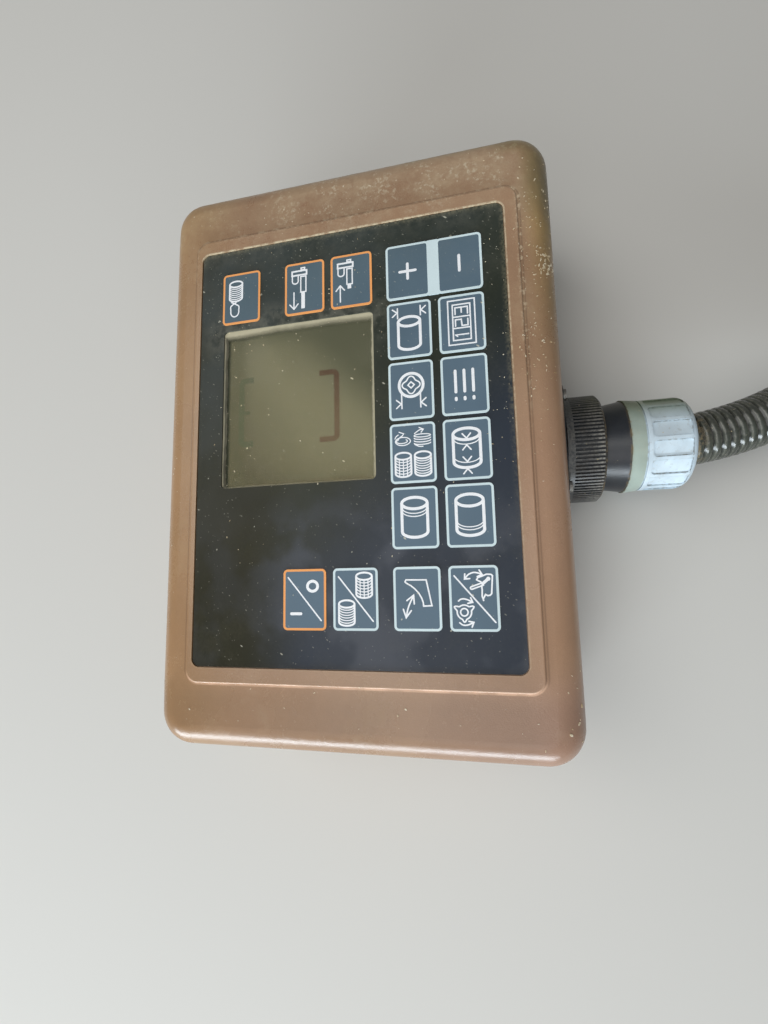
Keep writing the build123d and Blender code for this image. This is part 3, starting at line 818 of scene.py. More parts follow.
def clear_pane():
    """Clear pane: dust specks and slivers, pale dust gathered along its edges and faint wipes."""
    material, tree, shader = new_material("clear_pane")
    dust = use(tree, "settled_dust", {"Film Scale": 50.0, "Film Amount": 0.42, "Speck Scale": 330.0,
                                      "Speck Amount": 0.26, "Speck Size": 0.14, "Shift": 0.2})
    fine = use(tree, "settled_dust", {"Film Scale": 20.0, "Film Amount": 0.4, "Speck Scale": 800.0,
                                      "Speck Amount": 0.22, "Speck Size": 0.22, "Shift": 0.6})
    x, y = place_parts(tree)[:2]
    across = calc(tree, "SUBTRACT", x, window_centre.x)
    up = calc(tree, "SUBTRACT", y, window_centre.y)
    uneven = ramp(tree, noise(tree, object_place(tree), 170.0, 5.0, 0.65), 0.3, 0.7, -0.5, 0.6)
    cover = product(tree, dust["Film"], 0.07)
    upper = ramp(tree, up, 0.004, 0.029)
    lower = ramp(tree, up, -0.012, -0.029)
    right_width = calc(tree, "ADD", 0.0004, product(tree, upper, 0.0010))
    right_width = calc(tree, "ADD", right_width, product(tree, lower, 0.0005))
    rows = (
        # distance inside a side, the dust's width there, softness, share
        (calc(tree, "SUBTRACT", window_half_x, across), right_width, 0.0022, 0.88),
        (calc(tree, "ADD", window_half_y, up), 0.0004, 0.0009, 0.72),
        (calc(tree, "SUBTRACT", window_half_y, up), 0.0003, 0.0007, 0.62),
        (calc(tree, "ADD", window_half_x, across), 0.0001, 0.0008, 0.34),
    )
    for inside, width, soft, share in rows:
        reach = calc(tree, "ADD", width, product(tree, uneven, 0.0004))
        edge = ramp(tree, calc(tree, "SUBTRACT", inside, reach), 0.0, soft, share, 0.0)
        cover = largest(tree, cover, edge)
    specks = largest(tree, dust["Specks"], product(tree, fine["Specks"], 0.55))
    cover = largest(tree, cover, specks)
    alpha = ramp(tree, cover, 0.0, 1.0, 0.04, 0.93, smooth=False)
    colour = mix(tree, cover, (0.30, 0.29, 0.20), (0.66, 0.60, 0.42))
    rough = ramp(tree, cover, 0.0, 0.5, 0.13, 0.8, smooth=False)
    connect(tree, shader, Base_Color=colour, Roughness=rough, Alpha=alpha)
    return material


def display_glass():
    """Unlit display: olive with a darker, greener rim, a brown left edge, painted light towards the upper
    left, painted shade towards the lower right and along the top, and the two faint bracket marks.
    """
    look = bpy.context.scene.console_display
    material, tree, shader = new_material("display_glass")
    face = Vector(look.face)

    def toned(red, green, blue):
        """The face's colour with its channels changed."""
        return face.x * red, face.y * green, face.z * blue

    distance = from_outline(
        tree, (window_centre.x - 0.002, window_centre.y - 0.005, 0.0),
        (window_half_x, window_half_y + 0.001, 0.0), 0.012,
    )
    x, y = place_parts(tree)[:2]
    ragged = noise(tree, object_place(tree), 30.0, 2.0)
    depth = calc(tree, "ADD", distance, ramp(tree, ragged, 0.3, 0.7, -0.002, 0.002))
    rim = ramp(tree, depth, -0.009, 0.0012)
    colour = mix(tree, rim, face, toned(0.42, 0.48, 0.50))
    left_edge = ramp(tree, x, window_centre.x - 0.0285, window_centre.x - 0.0305)
    colour = mix(tree, product(tree, left_edge, 0.6), colour, (0.085, 0.060, 0.028))
    tone = patches(tree, 0.022, 0.15)
    colour = mix(tree, product(tree, tone, 0.30), colour, toned(0.80, 0.88, 0.92))
    across = calc(tree, "SUBTRACT", x, window_centre.x)
    up = calc(tree, "SUBTRACT", y, window_centre.y)
    away = calc(tree, "SUBTRACT", up, product(tree, across, 0.45))
    lit = ramp(tree, away, 0.0, -0.024, 0.0, 0.32)
    colour = mix(tree, lit, colour, toned(1.5, 1.5, 1.55))
    shaded = ramp(tree, away, 0.002, 0.034, 0.0, 0.94, smooth=False)
    colour = mix(tree, shaded, colour, toned(0.10, 0.13, 0.14))
    # Painted shade: darker and greener along the top, and darker towards the lower right corner.
    upper = ramp(tree, y, window_centre.y + 0.0200, window_centre.y + 0.0245, 0.0, 0.60)
    colour = mix(tree, upper, colour, toned(0.16, 0.24, 0.20))
    corner = calc(tree, "SUBTRACT", across, up)
    colour = mix(tree, ramp(tree, corner, 0.016, 0.038), colour, toned(0.62, 0.67, 0.70))
    weave = noise(tree, object_place(tree), 1500.0, 1.0)
    colour = mix(tree, ramp(tree, weave, 0.3, 0.7, 0.0, 0.05), colour, face * 1.25)
    marks = (
        # colour, left, right, back and ends in millimetres from the pane's centre, half width, share
        (look.upper_mark, -14.2, 11.2, 23.4, 18.4, 1.15, 0.90),
        (look.lower_mark, -14.8, 10.9, -15.3, -8.5, 1.05, 0.85),
    )
    blur, hidden_reach = 0.45, 8.0
    for ink, left, right, back, ends, half, share in marks:
        centre = (window_centre.x + (left + right) / 2 * MM, window_centre.y + (back + ends) / 2 * MM, 0.0)
        open_side = hidden_reach if back < ends else -hidden_reach
        centre = (centre[0], centre[1] + open_side * MM / 2, 0.0)
        size = ((right - left) / 2 * MM, (abs(back - ends) + hidden_reach) / 2 * MM, 0.0)
        frame_line = from_outline(tree, centre, size, 0.0016)
        drawn = ramp(
            tree, calc(tree, "ABSOLUTE", frame_line), (half - blur) * MM, (half + blur) * MM, 1.0, 0.0,
        )
        end_at = window_centre.y + ends * MM
        soft = -0.5 * MM if back < ends else 0.5 * MM
        held = ramp(tree, y, end_at - soft, end_at + soft)
        colour = mix(tree, product(tree, drawn, held, share), colour, ink)
    tick = from_outline(
        tree, (window_centre.x - 1.8 * MM, window_centre.y + 21.8 * MM, 0.0), (0.7 * MM, 1.9 * MM, 0.0),
        0.5 * MM,
    )
    colour = mix(tree, ramp(tree, tick, -0.4 * MM, 0.4 * MM, 0.8, 0.0), colour, look.upper_mark)
    connect(tree, shader, Base_Color=colour, Roughness=0.17)
    shader.inputs["Specular IOR Level"].default_value = 0.44
    shader.inputs["Specular Tint"].default_value = (1.0, 0.86, 0.44, 1.0)
    return material


def symbol_print():
    """Opaque pale ink, a little uneven and rubbed."""
    look = bpy.context.scene.console_keypad
    material, tree, shader = new_material("symbol_print")
    ink = Vector(look.symbol)
    tone = patches(tree, 0.004, 0.8)
    colour = mix(tree, tone, ink * 0.94, ink)
    fine = noise(tree, object_place(tree), 1400.0, 3.0)
    colour = mix(tree, ramp(tree, fine, 0.58, 0.75, 0.0, 0.35), colour, ink * 0.6)
    connect(tree, shader, Base_Color=colour, Roughness=0.42, Normal=bump(tree, fine, 0.00001))
    return material


# Materials of the plugs and the lead.
def plug_plastic(name, colour, origin, axis, reference=(1.0, 0.0, 0.0), dirt_lines=(), crest=None, gloss=0.38,
                 dirt_share=0.75, dusty=0.14, pockets=False):
    """Moulded plastic of a round plug. Dirt gathers at the places along its axis that dirt_lines names and,
    with pockets, dirt and painted shade line the gland nut's pockets. What stands as far out as crest is
    rubbed pale. On the reference side a painted shade makes it darker and greener."""
    look = bpy.context.scene.console_housing
    material, tree, shader = new_material(name)
    base = Vector(colour)
    tone = patches(tree, 0.008, 0.25)
    mixed = mix(tree, tone, base * 0.92, base * 1.10 + Vector((0.002, 0.002, 0.002)))
    about = use(tree, "round_about", {"Origin": origin, "Direction": axis, "Reference": reference})
    dust = use(tree, "settled_dust", {"Film Scale": 130.0, "Film Amount": 0.44, "Speck Scale": 760.0,
                                      "Speck Amount": 0.10, "Speck Size": 0.22, "Shift": 1.7})
    mixed = mix(tree, product(tree, dust["Film"], dusty), mixed, look.dust)
    rough_up = product(tree, dust["Film"], min(1.0, dusty * 4))
    if crest:
        inner, outer = crest
        high = ramp(tree, about["Radius"], inner, outer)
        patchy = patches(tree, 0.006, 1.2)
        rubbed = product(
            tree, high, ramp(tree, patchy, 0.0, 1.0, 0.42, 0.80),
            ramp(tree, about["Along"], 9 * MM, 16 * MM, 0.40, 1.0),
        )
        streaks = noise(tree, object_place(tree), 1300.0, 3.0)
        rubbed = product(tree, rubbed, ramp(tree, streaks, 0.35, 0.6, 0.35, 1.0))
        mixed = mix(tree, rubbed, mixed, (0.35, 0.34, 0.30))
        rough_up = largest(tree, rough_up, rubbed)
    ragged = noise(tree, object_place(tree), 520.0, 5.0, 0.7)
    if pockets:
        # Dark lines round the pockets, strongest inside them: dirt with painted shade.
        pitch = 2 * math.pi / nut_pockets
        turn = calc(tree, "SUBTRACT", calc(tree, "WRAP", about["Angle"], pitch, 0.0), pitch / 2)
        arc = calc(tree, "ABSOLUTE", product(tree, turn, nut_radius))
        reach = calc(tree, "ABSOLUTE", calc(tree, "SUBTRACT", about["Along"], nut_pocket_middle))
        past_arc = calc(tree, "SUBTRACT", arc, nut_pocket_half_arc)
        past_end = calc(tree, "SUBTRACT", reach, nut_pocket_half_length)
        edge = calc(tree, "ABSOLUTE", largest(tree, past_arc, past_end))
        line = ramp(tree, edge, 0.08 * MM, 0.34 * MM, 1.0, 0.0)
        deep = ramp(tree, about["Radius"], nut_radius - 0.15 * MM, nut_radius - 0.5 * MM)
        line = product(tree, line, largest(tree, deep, 0.25))
        held = product(tree, line, ramp(tree, ragged, 0.40, 0.60, 0.12, 0.62))
        mixed = mix(tree, held, mixed, (0.105, 0.098, 0.075))
        wear = product(tree, ramp(tree, ragged, 0.56, 0.66), 0.25)
        mixed = mix(tree, wear, mixed, (0.30, 0.28, 0.22))
    for place, width in dirt_lines:
        near = line_at(tree, about["Along"], place, 0.0, width)
        held = product(tree, near, ramp(tree, ragged, 0.42, 0.62, 0.1, 1.0))
        mixed = mix(tree, product(tree, held, dirt_share), mixed, (0.23, 0.165, 0.080))
        rough_up = largest(tree, rough_up, held)
    # Painted shade: the side towards the reference direction is darker and greener.
    painted_shade_side = ramp(tree, calc(tree, "COSINE", about["Angle"]), 0.20, 0.85)
    mixed = mix(tree, painted_shade_side, mixed, (0.27, 0.28, 0.18), "MULTIPLY")
    mixed = mix(tree, product(tree, dust["Specks"], 0.8), mixed, (0.62, 0.52, 0.32))
    rough = calc(tree, "ADD", gloss, product(tree, rough_up, 0.35), clamp=True)
    grain = use(tree, "moulded_grain", {"Grain Size": 0.00035})["Height"]
    height = calc(tree, "ADD", grain, product(tree, rough_up, 0.8))
    connect(tree, shader, Base_Color=mixed, Roughness=rough, Normal=bump(tree, height, 0.000018))
    return material


def conduit_plastic():
    """Dark conduit: glossy ribs with fine dusty edges, painted shade in the grooves, and dirt near the gland
    nut.
    """
    look = bpy.context.scene.console_conduit
    material, tree, shader = new_material("conduit_plastic")
    base = Vector(look.plastic)
    rib = add(tree, "ShaderNodeAttribute", attribute_name="rib").outputs["Fac"]
    tone = patches(tree, 0.012, 0.45)
    colour = mix(tree, tone, base, base * 1.5 + Vector((0.004, 0.005, 0.003)))
    # Painted shade darkens the grooves between the ribs.
    colour = mix(tree, ramp(tree, rib, 0.0, 0.5, 0.75, 0.0), colour, (0.006, 0.006, 0.006))
    dust = use(tree, "settled_dust", {"Film Scale": 85.0, "Film Amount": 0.46, "Speck Scale": 700.0,
                                      "Speck Amount": 0.16, "Speck Size": 0.22, "Shift": 2.3})
    streaks = noise(tree, object_place(tree), 900.0, 4.0, 0.65)
    edges = line_at(tree, rib, 0.86, 0.03, 0.14, 0.50)
    edges = product(tree, edges, ramp(tree, streaks, 0.35, 0.6, 0.2, 1.0))
    held = product(
        tree, dust["Film"], ramp(tree, streaks, 0.35, 0.65, 0.25, 1.0),
        ramp(tree, rib, 0.15, 0.9, 0.10, 0.26),
    )
    colour = mix(tree, edges, colour, (0.22, 0.22, 0.18))
    colour = mix(tree, held, colour, (0.22, 0.20, 0.15))
    y = place_parts(tree)[1]
    by_nut = ramp(tree, y, near_origin.y - nut_end - 7 * MM, near_origin.y - nut_end - 1 * MM)
    dirt = product(tree, by_nut, ramp(tree, noise(tree, object_place(tree), 420.0, 5.0, 0.7), 0.47, 0.6))
    colour = mix(tree, product(tree, dirt, 0.7), colour, (0.30, 0.22, 0.11))
    colour = mix(tree, product(tree, dust["Specks"], 0.7), colour, (0.55, 0.46, 0.28))
    rough = calc(tree, "ADD", 0.15, product(tree, largest(tree, held, dirt), 0.8), clamp=True)
    fuzz = noise(tree, object_place(tree), 1800.0, 2.0)
    connect(tree, shader, Base_Color=colour, Roughness=rough, Normal=bump(tree, fuzz, 0.000008))
    return material


# Printed symbols. A symbol is a list of lines in millimetres about the key's centre: points, weight, closed.
# A bar has square ends, every other open line round ones.
FINE, BOLD, BAR, MEDIUM, THIN = range(5)


def stroke(points, weight=FINE):
    """An open line."""
    return points, weight, False


def closed_line(points, weight=FINE):
    """A line that ends where it starts."""
    return points, weight, True


def bend(x, y, across, high, start, end, steps=16):
    """Points on an ellipse about (x, y), from start to end degrees, anticlockwise from the right."""
    angles = [math.radians(start + (end - start) * step / steps) for step in range(steps + 1)]
    return [(x + across * math.cos(a), y + high * math.sin(a)) for a in angles]


def flow(*points, steps=5):
    """A smooth line through the points."""
    places = [Vector(point) for point in points]
    places = [2 * places[0] - places[1]] + places + [2 * places[-1] - places[-2]]
    made = []
    for a, b, c, d in zip(places, places[1:], places[2:], places[3:]):
        for step in range(steps):
            t = step / steps
            made.append(tuple(0.5 * (2 * b + (c - a) * t + (2 * a - 5 * b + 4 * c - d) * t * t
                                     + (3 * b - a - 3 * c + d) * t * t * t)))
    return made + [tuple(places[-2])]


def ring(x, y, across, high, weight=FINE, steps=28):
    """A closed ellipse."""
    return closed_line(bend(x, y, across, high, 0, 360 - 360 / steps, steps - 1), weight)


def rectangle(x, y, length, height, weight=FINE):
    """A closed upright rectangle about (x, y)."""
    a, b = length / 2, height / 2
    return closed_line([(x - a, y - b), (x + a, y - b), (x + a, y + b), (x - a, y + b)], weight)


def arrow_head(x, y, towards, size=1.7, spread=40):
    """An open arrow head whose tip is at (x, y)."""
    sides = [math.radians(towards + 180 + turn) for turn in (-spread, spread)]
    legs = [(x + size * math.cos(a), y + size * math.sin(a)) for a in sides]
    return stroke([legs[0], (x, y), legs[1]])


def bale(x, y, length, height, bands=(), weight=BOLD, rows=0):
    """A round bale lying across, seen from its right end, with thin bands that reach left to the places named
    and thin rows of net."""
    half, across = height / 2, height * 0.225
    left, right = x - length / 2 + across, x + length / 2 - across
    body = [(right, y + half), *bend(left, y, across, half, 90, 270), (right, y - half)]
    lines = [stroke(body, weight), ring(right, y, across, half, weight)]
    for place in bands:
        lines.append(stroke(bend(place + across, y, across, half * 0.96, 96, 264, 12), THIN))
    for row in range(1, rows + 1):
        level = y - half + height * row / (rows + 1)
        shrink = across * math.sqrt(max(0.0, 1 - ((level - y) / half) ** 2))
        lines.append(stroke([(left - shrink, level), (right - shrink, level)], THIN))
    return lines


def striped(x, y, length, height, count, rows=0):
    """A bale of medium lines with even bands over its length, and net rows if asked."""
    span = length - height * 0.45
    bands = [x - length / 2 + span * (step + 1) / (count + 1) for step in range(count)]
    return bale(x, y, length, height, bands, MEDIUM, rows)


def slash(left, low, right, high):
    """The fine diagonal of a key with two halves."""
    return stroke([(left, low), (right, high)])


def round_shape(middle, steps, reach):
    """Points about a middle, each as far out as reach gives for its turn."""
    turns = [2 * math.pi * step / steps for step in range(steps)]
    return [
        (middle[0] + reach(turn) * math.cos(turn), middle[1] + reach(turn) * math.sin(turn)) for turn in turns
    ]


def symbol_wrapping():
    upper = flow((-5.0, 4.5), (-3.25, 4.6), (-2.3, 3.6), (-1.7, 2.3))
    lower = flow((-5.0, 1.1), (-3.3, 1.1), (-2.3, 2.6), (-1.3, 4.3))
    loop = bend(-5.5, 2.8, 2.05, 1.75, 75, 285)
    return striped(3.15, 2.43, 8.5, 5.5, 6) + [stroke(loop), stroke(upper), stroke(lower)]


def cylinder(rod_start, barrel_start, level):
    """A cylinder with its rod and end stub, held in a bracket at its right end."""
    barrel_end = 4.8
    return [
        stroke([(rod_start, level + 0.1), (barrel_start, level + 0.1)], BAR),
        rectangle((barrel_start + barrel_end) / 2, level, barrel_end - barrel_start, 2.1),
        rectangle(6.4, level + 1.65, 1.7, 5.95, MEDIUM),
        rectangle(8.0, level + 0.2, 0.8, 1.5),
        stroke([(5.2, level + 4.5), *bend(3.2, level + 3.3, 1.1, 1.2, 90, 270, 10), (5.2, level + 2.1)]),
    ]


def symbol_rod_out():
    return cylinder(-8.3, -1.56, 0.43) + [
        stroke([(-8.1, 4.25), (-1.45, 4.25)]), arrow_head(-8.2, 4.25, 180, 2.6),
    ]


def symbol_rod_in():
    return cylinder(-3.2, -1.4, 0.57) + [stroke([(-8.1, 4.25), (-1.7, 4.25)]), arrow_head(-1.6, 4.25, 0, 2.6)]


def symbol_power():
    return [
        slash(-7.2, -6.15, 7.75, 6.2), stroke([(-4.9, 1.3), (-4.9, 4.9)], BOLD),
        ring(4.6, -3.0, 1.75, 1.9, BOLD),
    ]


def symbol_twine_or_net():
    twine = striped(-4.65, 3.15, 8.6, 5.6, 6)
    return [slash(-7.4, -6.15, 7.7, 6.0)] + twine + striped(4.7, -3.15, 8.6, 5.6, 5, rows=3)


def symbol_ramp():
    side = [(-2.45, -2.06), (-2.3, -4.84), (6.16, -3.17), (6.25, 3.63), (5.6, 4.0), (5.2, 3.6), (4.36, 2.1),
            (3.25, 0.72), (1.86, -0.53), (0.19, -1.5), (-1.34, -2.0)]
    travel = flow((-6.2, 3.9), (-2.87, 3.08), (1.16, 1.2))
    return [
        closed_line(side), stroke(travel), arrow_head(-6.2, 3.9, 170, 2.9, 28),
        arrow_head(1.16, 1.2, -25, 2.9, 28),
    ]


def symbol_rotor_and_floor():
    def lobe_reach(turn):
        """Three lobes on the hub, those on the right longer."""
        return 2.3 + (1.3 if math.cos(turn) > 0 else 0.85) * max(0.0, math.cos(3 * turn + math.pi)) ** 5

    middle = (-4.45, 3.3)
    lobes = round_shape(middle, 72, lobe_reach)
    turning = [
        stroke(flow((-7.8, 4.9), (-8.4, 4.1), (-8.6, 3.2), (-8.4, 2.0), (-7.9, 0.9))),
        arrow_head(-7.66, 0.4, -62, 1.6),
        stroke(flow((-0.86, 5.05), (-0.3, 4.3), (-0.16, 3.25), (-0.5, 2.0), (-1.0, 1.1))),
        arrow_head(-1.28, 0.5, -118, 1.6),
    ]
    tray = [
        stroke([(-0.72, -3.0), (0.67, -2.6), (2.6, -2.7), (4.1, -2.6)]),
        stroke([
            (-0.3, -2.9), (1.2, -3.7), (0.8, -4.4), (0.95, -5.2), (1.5, -5.65), (7.2, -6.15), (7.6, -5.65),
            (7.67, -4.25), (7.05, -2.73), (6.64, -1.5), (5.95, -1.05), (5.6, -1.6), (5.25, -2.4),
        ]),
    ]
    top, foot = Vector((3.3, 0.6)), Vector((4.56, -3.0))
    along = (foot - top).normalized()
    side = Vector((-along.y, along.x)) * 0.42
    start = math.degrees(math.atan2(side.y, side.x))
    lever = bend(*top, 0.42, 0.42, start, start + 180, 8) + [tuple(foot - side), tuple(foot + side)]
    pivot = [stroke([(4.7, -3.0), (6.2, -4.8)], BOLD), ring(6.2, -4.8, 0.33, 0.33, MEDIUM, 12)]
    swing = [stroke(flow((6.3, 2.7), (7.6, 1.6), (8.3, -0.1), (8.1, -1.6), (7.7, -2.6))),
             arrow_head(6.2, 2.8, 135), arrow_head(7.6, -2.9, -108)]
    return [slash(-7.66, -6.5, 7.33, 6.16), closed_line(lobes), ring(*middle, 1.2, 1.2)] + turning + tray + [
        closed_line(lever)] + pivot + swing


def symbol_bands_right():
    return bale(0.13, 0.03, 13.7, 8.8, (0.38, 1.43))


def symbol_bands_left():
    return bale(0.14, 0.09, 13.85, 9.0, (-4.9, -3.93))


def symbol_both_bands():
    lines = bale(0.33, 0.15, 13.7, 9.0, (-4.75, 1.56))
    for x, towards in ((-6.9, 0), (-4.45, 180), (1.3, 0), (3.65, 180)):
        lines.append(arrow_head(x, 0.15, towards, 2.16))
    return lines


def symbol_four_ways():
    net = striped(-4.05, 3.45, 8.6, 5.55, 5, rows=3)
    twine = striped(-4.05, -3.43, 8.6, 5.6, 6)
    spiral = [
        ring(4.27, 3.4, 1.45, 2.65, THIN),
        stroke(bend(4.3, 3.75, 0.75, 1.95, 50, 310), THIN),
        stroke(flow((5.35, 6.2), (6.15, 5.75), (6.7, 5.0)), THIN),
        stroke(flow((4.8, 5.1), (5.6, 4.6), (6.2, 3.7)), THIN),
        stroke([(5.9, 3.87), (7.0, 3.05), (7.7, 4.7)], THIN),
    ]
    coil = [stroke(flow((2.0, -3.6), (2.1, -2.3), (2.85, -0.75)), THIN), ring(5.9, -3.45, 0.55, 2.85, THIN)]
    coil += [stroke(bend(left + 0.55, -3.45, 0.55, 2.85, 92, 268, 12), THIN) for left in (2.7, 3.6, 4.5)]
    coil += [
        stroke(flow((6.7, -0.75), (7.85, -2.4), (8.1, -3.9)), THIN),
        stroke([(7.0, -3.07), (8.1, -3.9), (8.8, -2.4)], THIN),
    ]
    return net + twine + spiral + coil


def symbol_core():
    middle = (1.9, -0.07)
    star = round_shape(middle, 64, lambda turn: 2.75 + 0.45 * math.cos(4 * turn))
    heart = [(3.05, -0.07), (1.9, 1.08), (0.75, -0.07), (1.9, -1.22)]
    gauge = [stroke([(-6.45, 3.4), (-0.9, 3.4)]), stroke([(-6.45, -3.3), (-0.9, -3.3)]),
             arrow_head(-4.75, 3.6, -90, 2.26, 41), arrow_head(-4.75, -3.5, 90, 2.26, 41)]
    return [ring(*middle, 4.28, 4.28, BOLD, 40), closed_line(star), closed_line(heart)] + gauge


def symbol_menu():
    rows = []
    for level in (3.0, 0.0, -3.0):
        rows.append(stroke([(-2.4, level), (5.2, level)], BOLD))
        rows.append(stroke([(-5.2, level), (-4.6, level)], BOLD))
    return rows


def symbol_diameter():
    gauge = [stroke([(4.7, 4.1), (8.55, 4.1)]), stroke([(5.0, -4.2), (8.6, -4.2)]),
             arrow_head(6.9, 4.3, -90, 2.2), arrow_head(6.9, -4.4, 90, 2.2)]
    return bale(-1.25, 0.0, 12.4, 7.9) + gauge


def symbol_counter():
    digits = [
        stroke([(-4.9, 1.6), (-4.35, 2.2), (-4.35, -2.2)]),
        stroke([(-1.1, 2.15), (1.25, 2.15), (1.25, 0.1), (-1.1, -0.1), (-1.1, -2.15), (1.25, -2.15)]),
        stroke([(3.25, 2.15), (5.75, 2.15), (5.75, -2.15), (3.25, -2.15)]),
        stroke([(3.85, 0.0), (5.65, 0.0)]),
    ]
    cells = [stroke([(x, -2.9), (x, 2.9)]) for x in (-1.9, 2.3)]
    return [rectangle(0.3, 0.0, 16.4, 9.3), rectangle(0.27, 0.0, 13.2, 6.1)] + cells + digits


def symbol_more():
    return [stroke([(-2.9, 0), (2.9, 0)], BOLD), stroke([(0, -2.9), (0, 2.9)], BOLD)]


def symbol_less():
    return [stroke([(-2.9, 0), (2.9, 0)], BOLD)]


SYMBOLS = (
    # name, column in the right-hand grid or None for the left column, row, lines
    ("wrapping", 4, top_row_y, symbol_wrapping),
    ("rod_out", 4, upper_pair_y, symbol_rod_out),
    ("rod_in", 4, upper_pair_y - row_pitch, symbol_rod_in),
    ("power", None, upper_pair_y, symbol_power),
    ("twine_or_net", None, upper_pair_y - row_pitch, symbol_twine_or_net),
    ("ramp", None, lower_pair_y, symbol_ramp),
    ("rotor_and_floor", None, lower_pair_y - row_pitch, symbol_rotor_and_floor),
    ("bands_right", 0, lower_pair_y, symbol_bands_right),
    ("bands_left", 0, lower_pair_y - row_pitch, symbol_bands_left),
    ("four_ways", 1, lower_pair_y, symbol_four_ways),
    ("both_bands", 1, lower_pair_y - row_pitch, symbol_both_bands),
    ("core", 2, lower_pair_y, symbol_core),
    ("menu", 2, lower_pair_y - row_pitch, symbol_menu),
    ("diameter", 3, lower_pair_y, symbol_diameter),
    ("counter", 3, lower_pair_y - row_pitch, symbol_counter),
    ("more", 4, lower_pair_y, symbol_more),
    ("less", 4, lower_pair_y - row_pitch, symbol_less),
)


def edges_of(points, half, closed):
    """Left and right edge points of a flat line with mitred corners."""
    places = [Vector(point) for point in points]
    count = len(places)
    left, right = [], []
    for i, here in enumerate(places):
        before = places[i - 1] if closed or i > 0 else None
        after = places[(i + 1) % count] if closed or i < count - 1 else None
        ways = [w.normalized() for w in (before and here - before, after and after - here) if w]
        sides = [Vector((-w.y, w.x)) for w in ways]
        middle = sum(sides, Vector((0.0, 0.0)))
        middle = middle.normalized() if middle.length > 1e-6 else sides[0]
        reach = half / max(middle.dot(sides[0]), 0.45)
        left.append(here + middle * reach)
        right.append(here - middle * reach)
    return left, right


def draw_line(bm, points, half, closed, low, high, square=False):
    """Adds one raised flat line. Where it is open its ends are round, or square if asked."""
    left, right = edges_of(points, half, closed)
    count = len(points)
    tops = [(bm.verts.new((*a, high)), bm.verts.new((*b, high))) for a, b in zip(left, right)]
    feet = [(bm.verts.new((*a, low)), bm.verts.new((*b, low))) for a, b in zip(left, right)]
    for i in range(count if closed else count - 1):
        j = (i + 1) % count
        bm.faces.new((tops[i][0], tops[i][1], tops[j][1], tops[j][0]))
        bm.faces.new((feet[i][0], feet[j][0], feet[j][1], feet[i][1]))
        for side in (0, 1):
            bm.faces.new((tops[i][side], tops[j][side], feet[j][side], feet[i][side]))
    if closed:
        return
    if square:
        for i in (0, count - 1):
            bm.faces.new((tops[i][0], tops[i][1], feet[i][1], feet[i][0]))
        return
    for i in (0, count - 1):
        here = Vector(points[i])
        start = Vector(left[i]) - here
        turn = -1 if i else 1
        cap_top, cap_low = [tops[i][0]], [feet[i][0]]
        for step in range(1, 6):
            rotated = start.copy()
            rotated.rotate(Matrix.Rotation(turn * math.pi * step / 6, 2))
            cap_top.append(bm.verts.new((*(here + rotated), high)))
            cap_low.append(bm.verts.new((*(here + rotated), low)))
        cap_top.append(tops[i][1])
        cap_low.append(feet[i][1])
        bm.faces.new(cap_top)
        bm.faces.new(cap_low)
        for a, b, c, d in zip(cap_top, cap_top[1:], cap_low[1:], cap_low):
            bm.faces.new((a, b, c, d))


# The lead.
def coil_point(turn):
    """A point of the coil after so many turns, each turn flat on the last, with a short climb at its end."""
    angle = math.radians(coil_start_angle + 360 * turn)
    whole = math.floor(turn + 1e-9)
    climb = max(0.0, (turn - whole - 1 + coil_climb_share) / coil_climb_share)
    x = coil_centre.x + coil_radius * math.sin(angle)
    y = coil_centre.y + coil_radius * math.cos(angle)
    return Vector((x, y, coil_first_z + (whole + climb) * layer_pitch))


def lead_route():
    """The route's points from the near gland nut, round the coil, to the far nut."""
    run = []
    for x, out, share in RUN_TABLE:
        run.append(Vector((x * MM, near_origin.y - out * MM, coil_first_z + share * axis_rise)))
    wound = [coil_point(n / coil_points_per_turn) for n in range(coil_turns * coil_points_per_turn + 1)]
    top_centre = Vector((coil_centre.x, coil_centre.y, coil_high.z))
    return run + wound + [top_centre + Vector(place) * MM for place in TAIL_TABLE]


def smooth_line(points):
    """Points on the NURBS spline through the route, as Blender gives them for a curve with no bevel."""
    data = bpy.data.curves.new("lead_line", "CURVE")
    data.dimensions = "3D"
    data.resolution_u = 12
    spline = data.splines.new("NURBS")
    spline.points.add(len(points) - 1)
    for control, place in zip(spline.points, points):
        control.co = (*place, 1.0)
    spline.order_u = 3
    spline.use_endpoint_u = True
    holder = bpy.data.objects.new("lead_line", data)
    bpy.context.scene.collection.objects.link(holder)
    line = bpy.data.meshes.new_from_object(holder)
    places = [v.co.copy() for v in line.vertices]
    bpy.data.objects.remove(holder)
    bpy.data.curves.remove(data)
    bpy.data.meshes.remove(line)
    return places


def along_line(places, stations):
    """Places and directions at distances along a line."""
    line = np.array([tuple(p) for p in places])
    steps = np.linalg.norm(np.diff(line, axis=0), axis=1)
    run = np.concatenate([[0.0], np.cumsum(steps)])
    ways = np.gradient(line, run, axis=0)
    spots = np.stack([np.interp(stations, run, line[:, k]) for k in range(3)], axis=1)
    heads = np.stack([np.interp(stations, run, ways[:, k]) for k in range(3)], axis=1)
    return spots, heads / np.linalg.norm(heads, axis=1)[:, None], run[-1]


def rib_stations(length, pitch):
    """Rows of distance along the conduit and share of rib height, a broad crest and narrow groove each."""
    profile = ((0.00, 0.0), (0.13, 0.0), (0.25, 0.92), (0.57, 1.0), (0.88, 0.92))
    rows = []
    for number in range(int(length / pitch)):
        rows += [((number + share) * pitch, height) for share, height in profile]
    return [row for row in rows if row[0] <= length] + [(length, 0.0)]


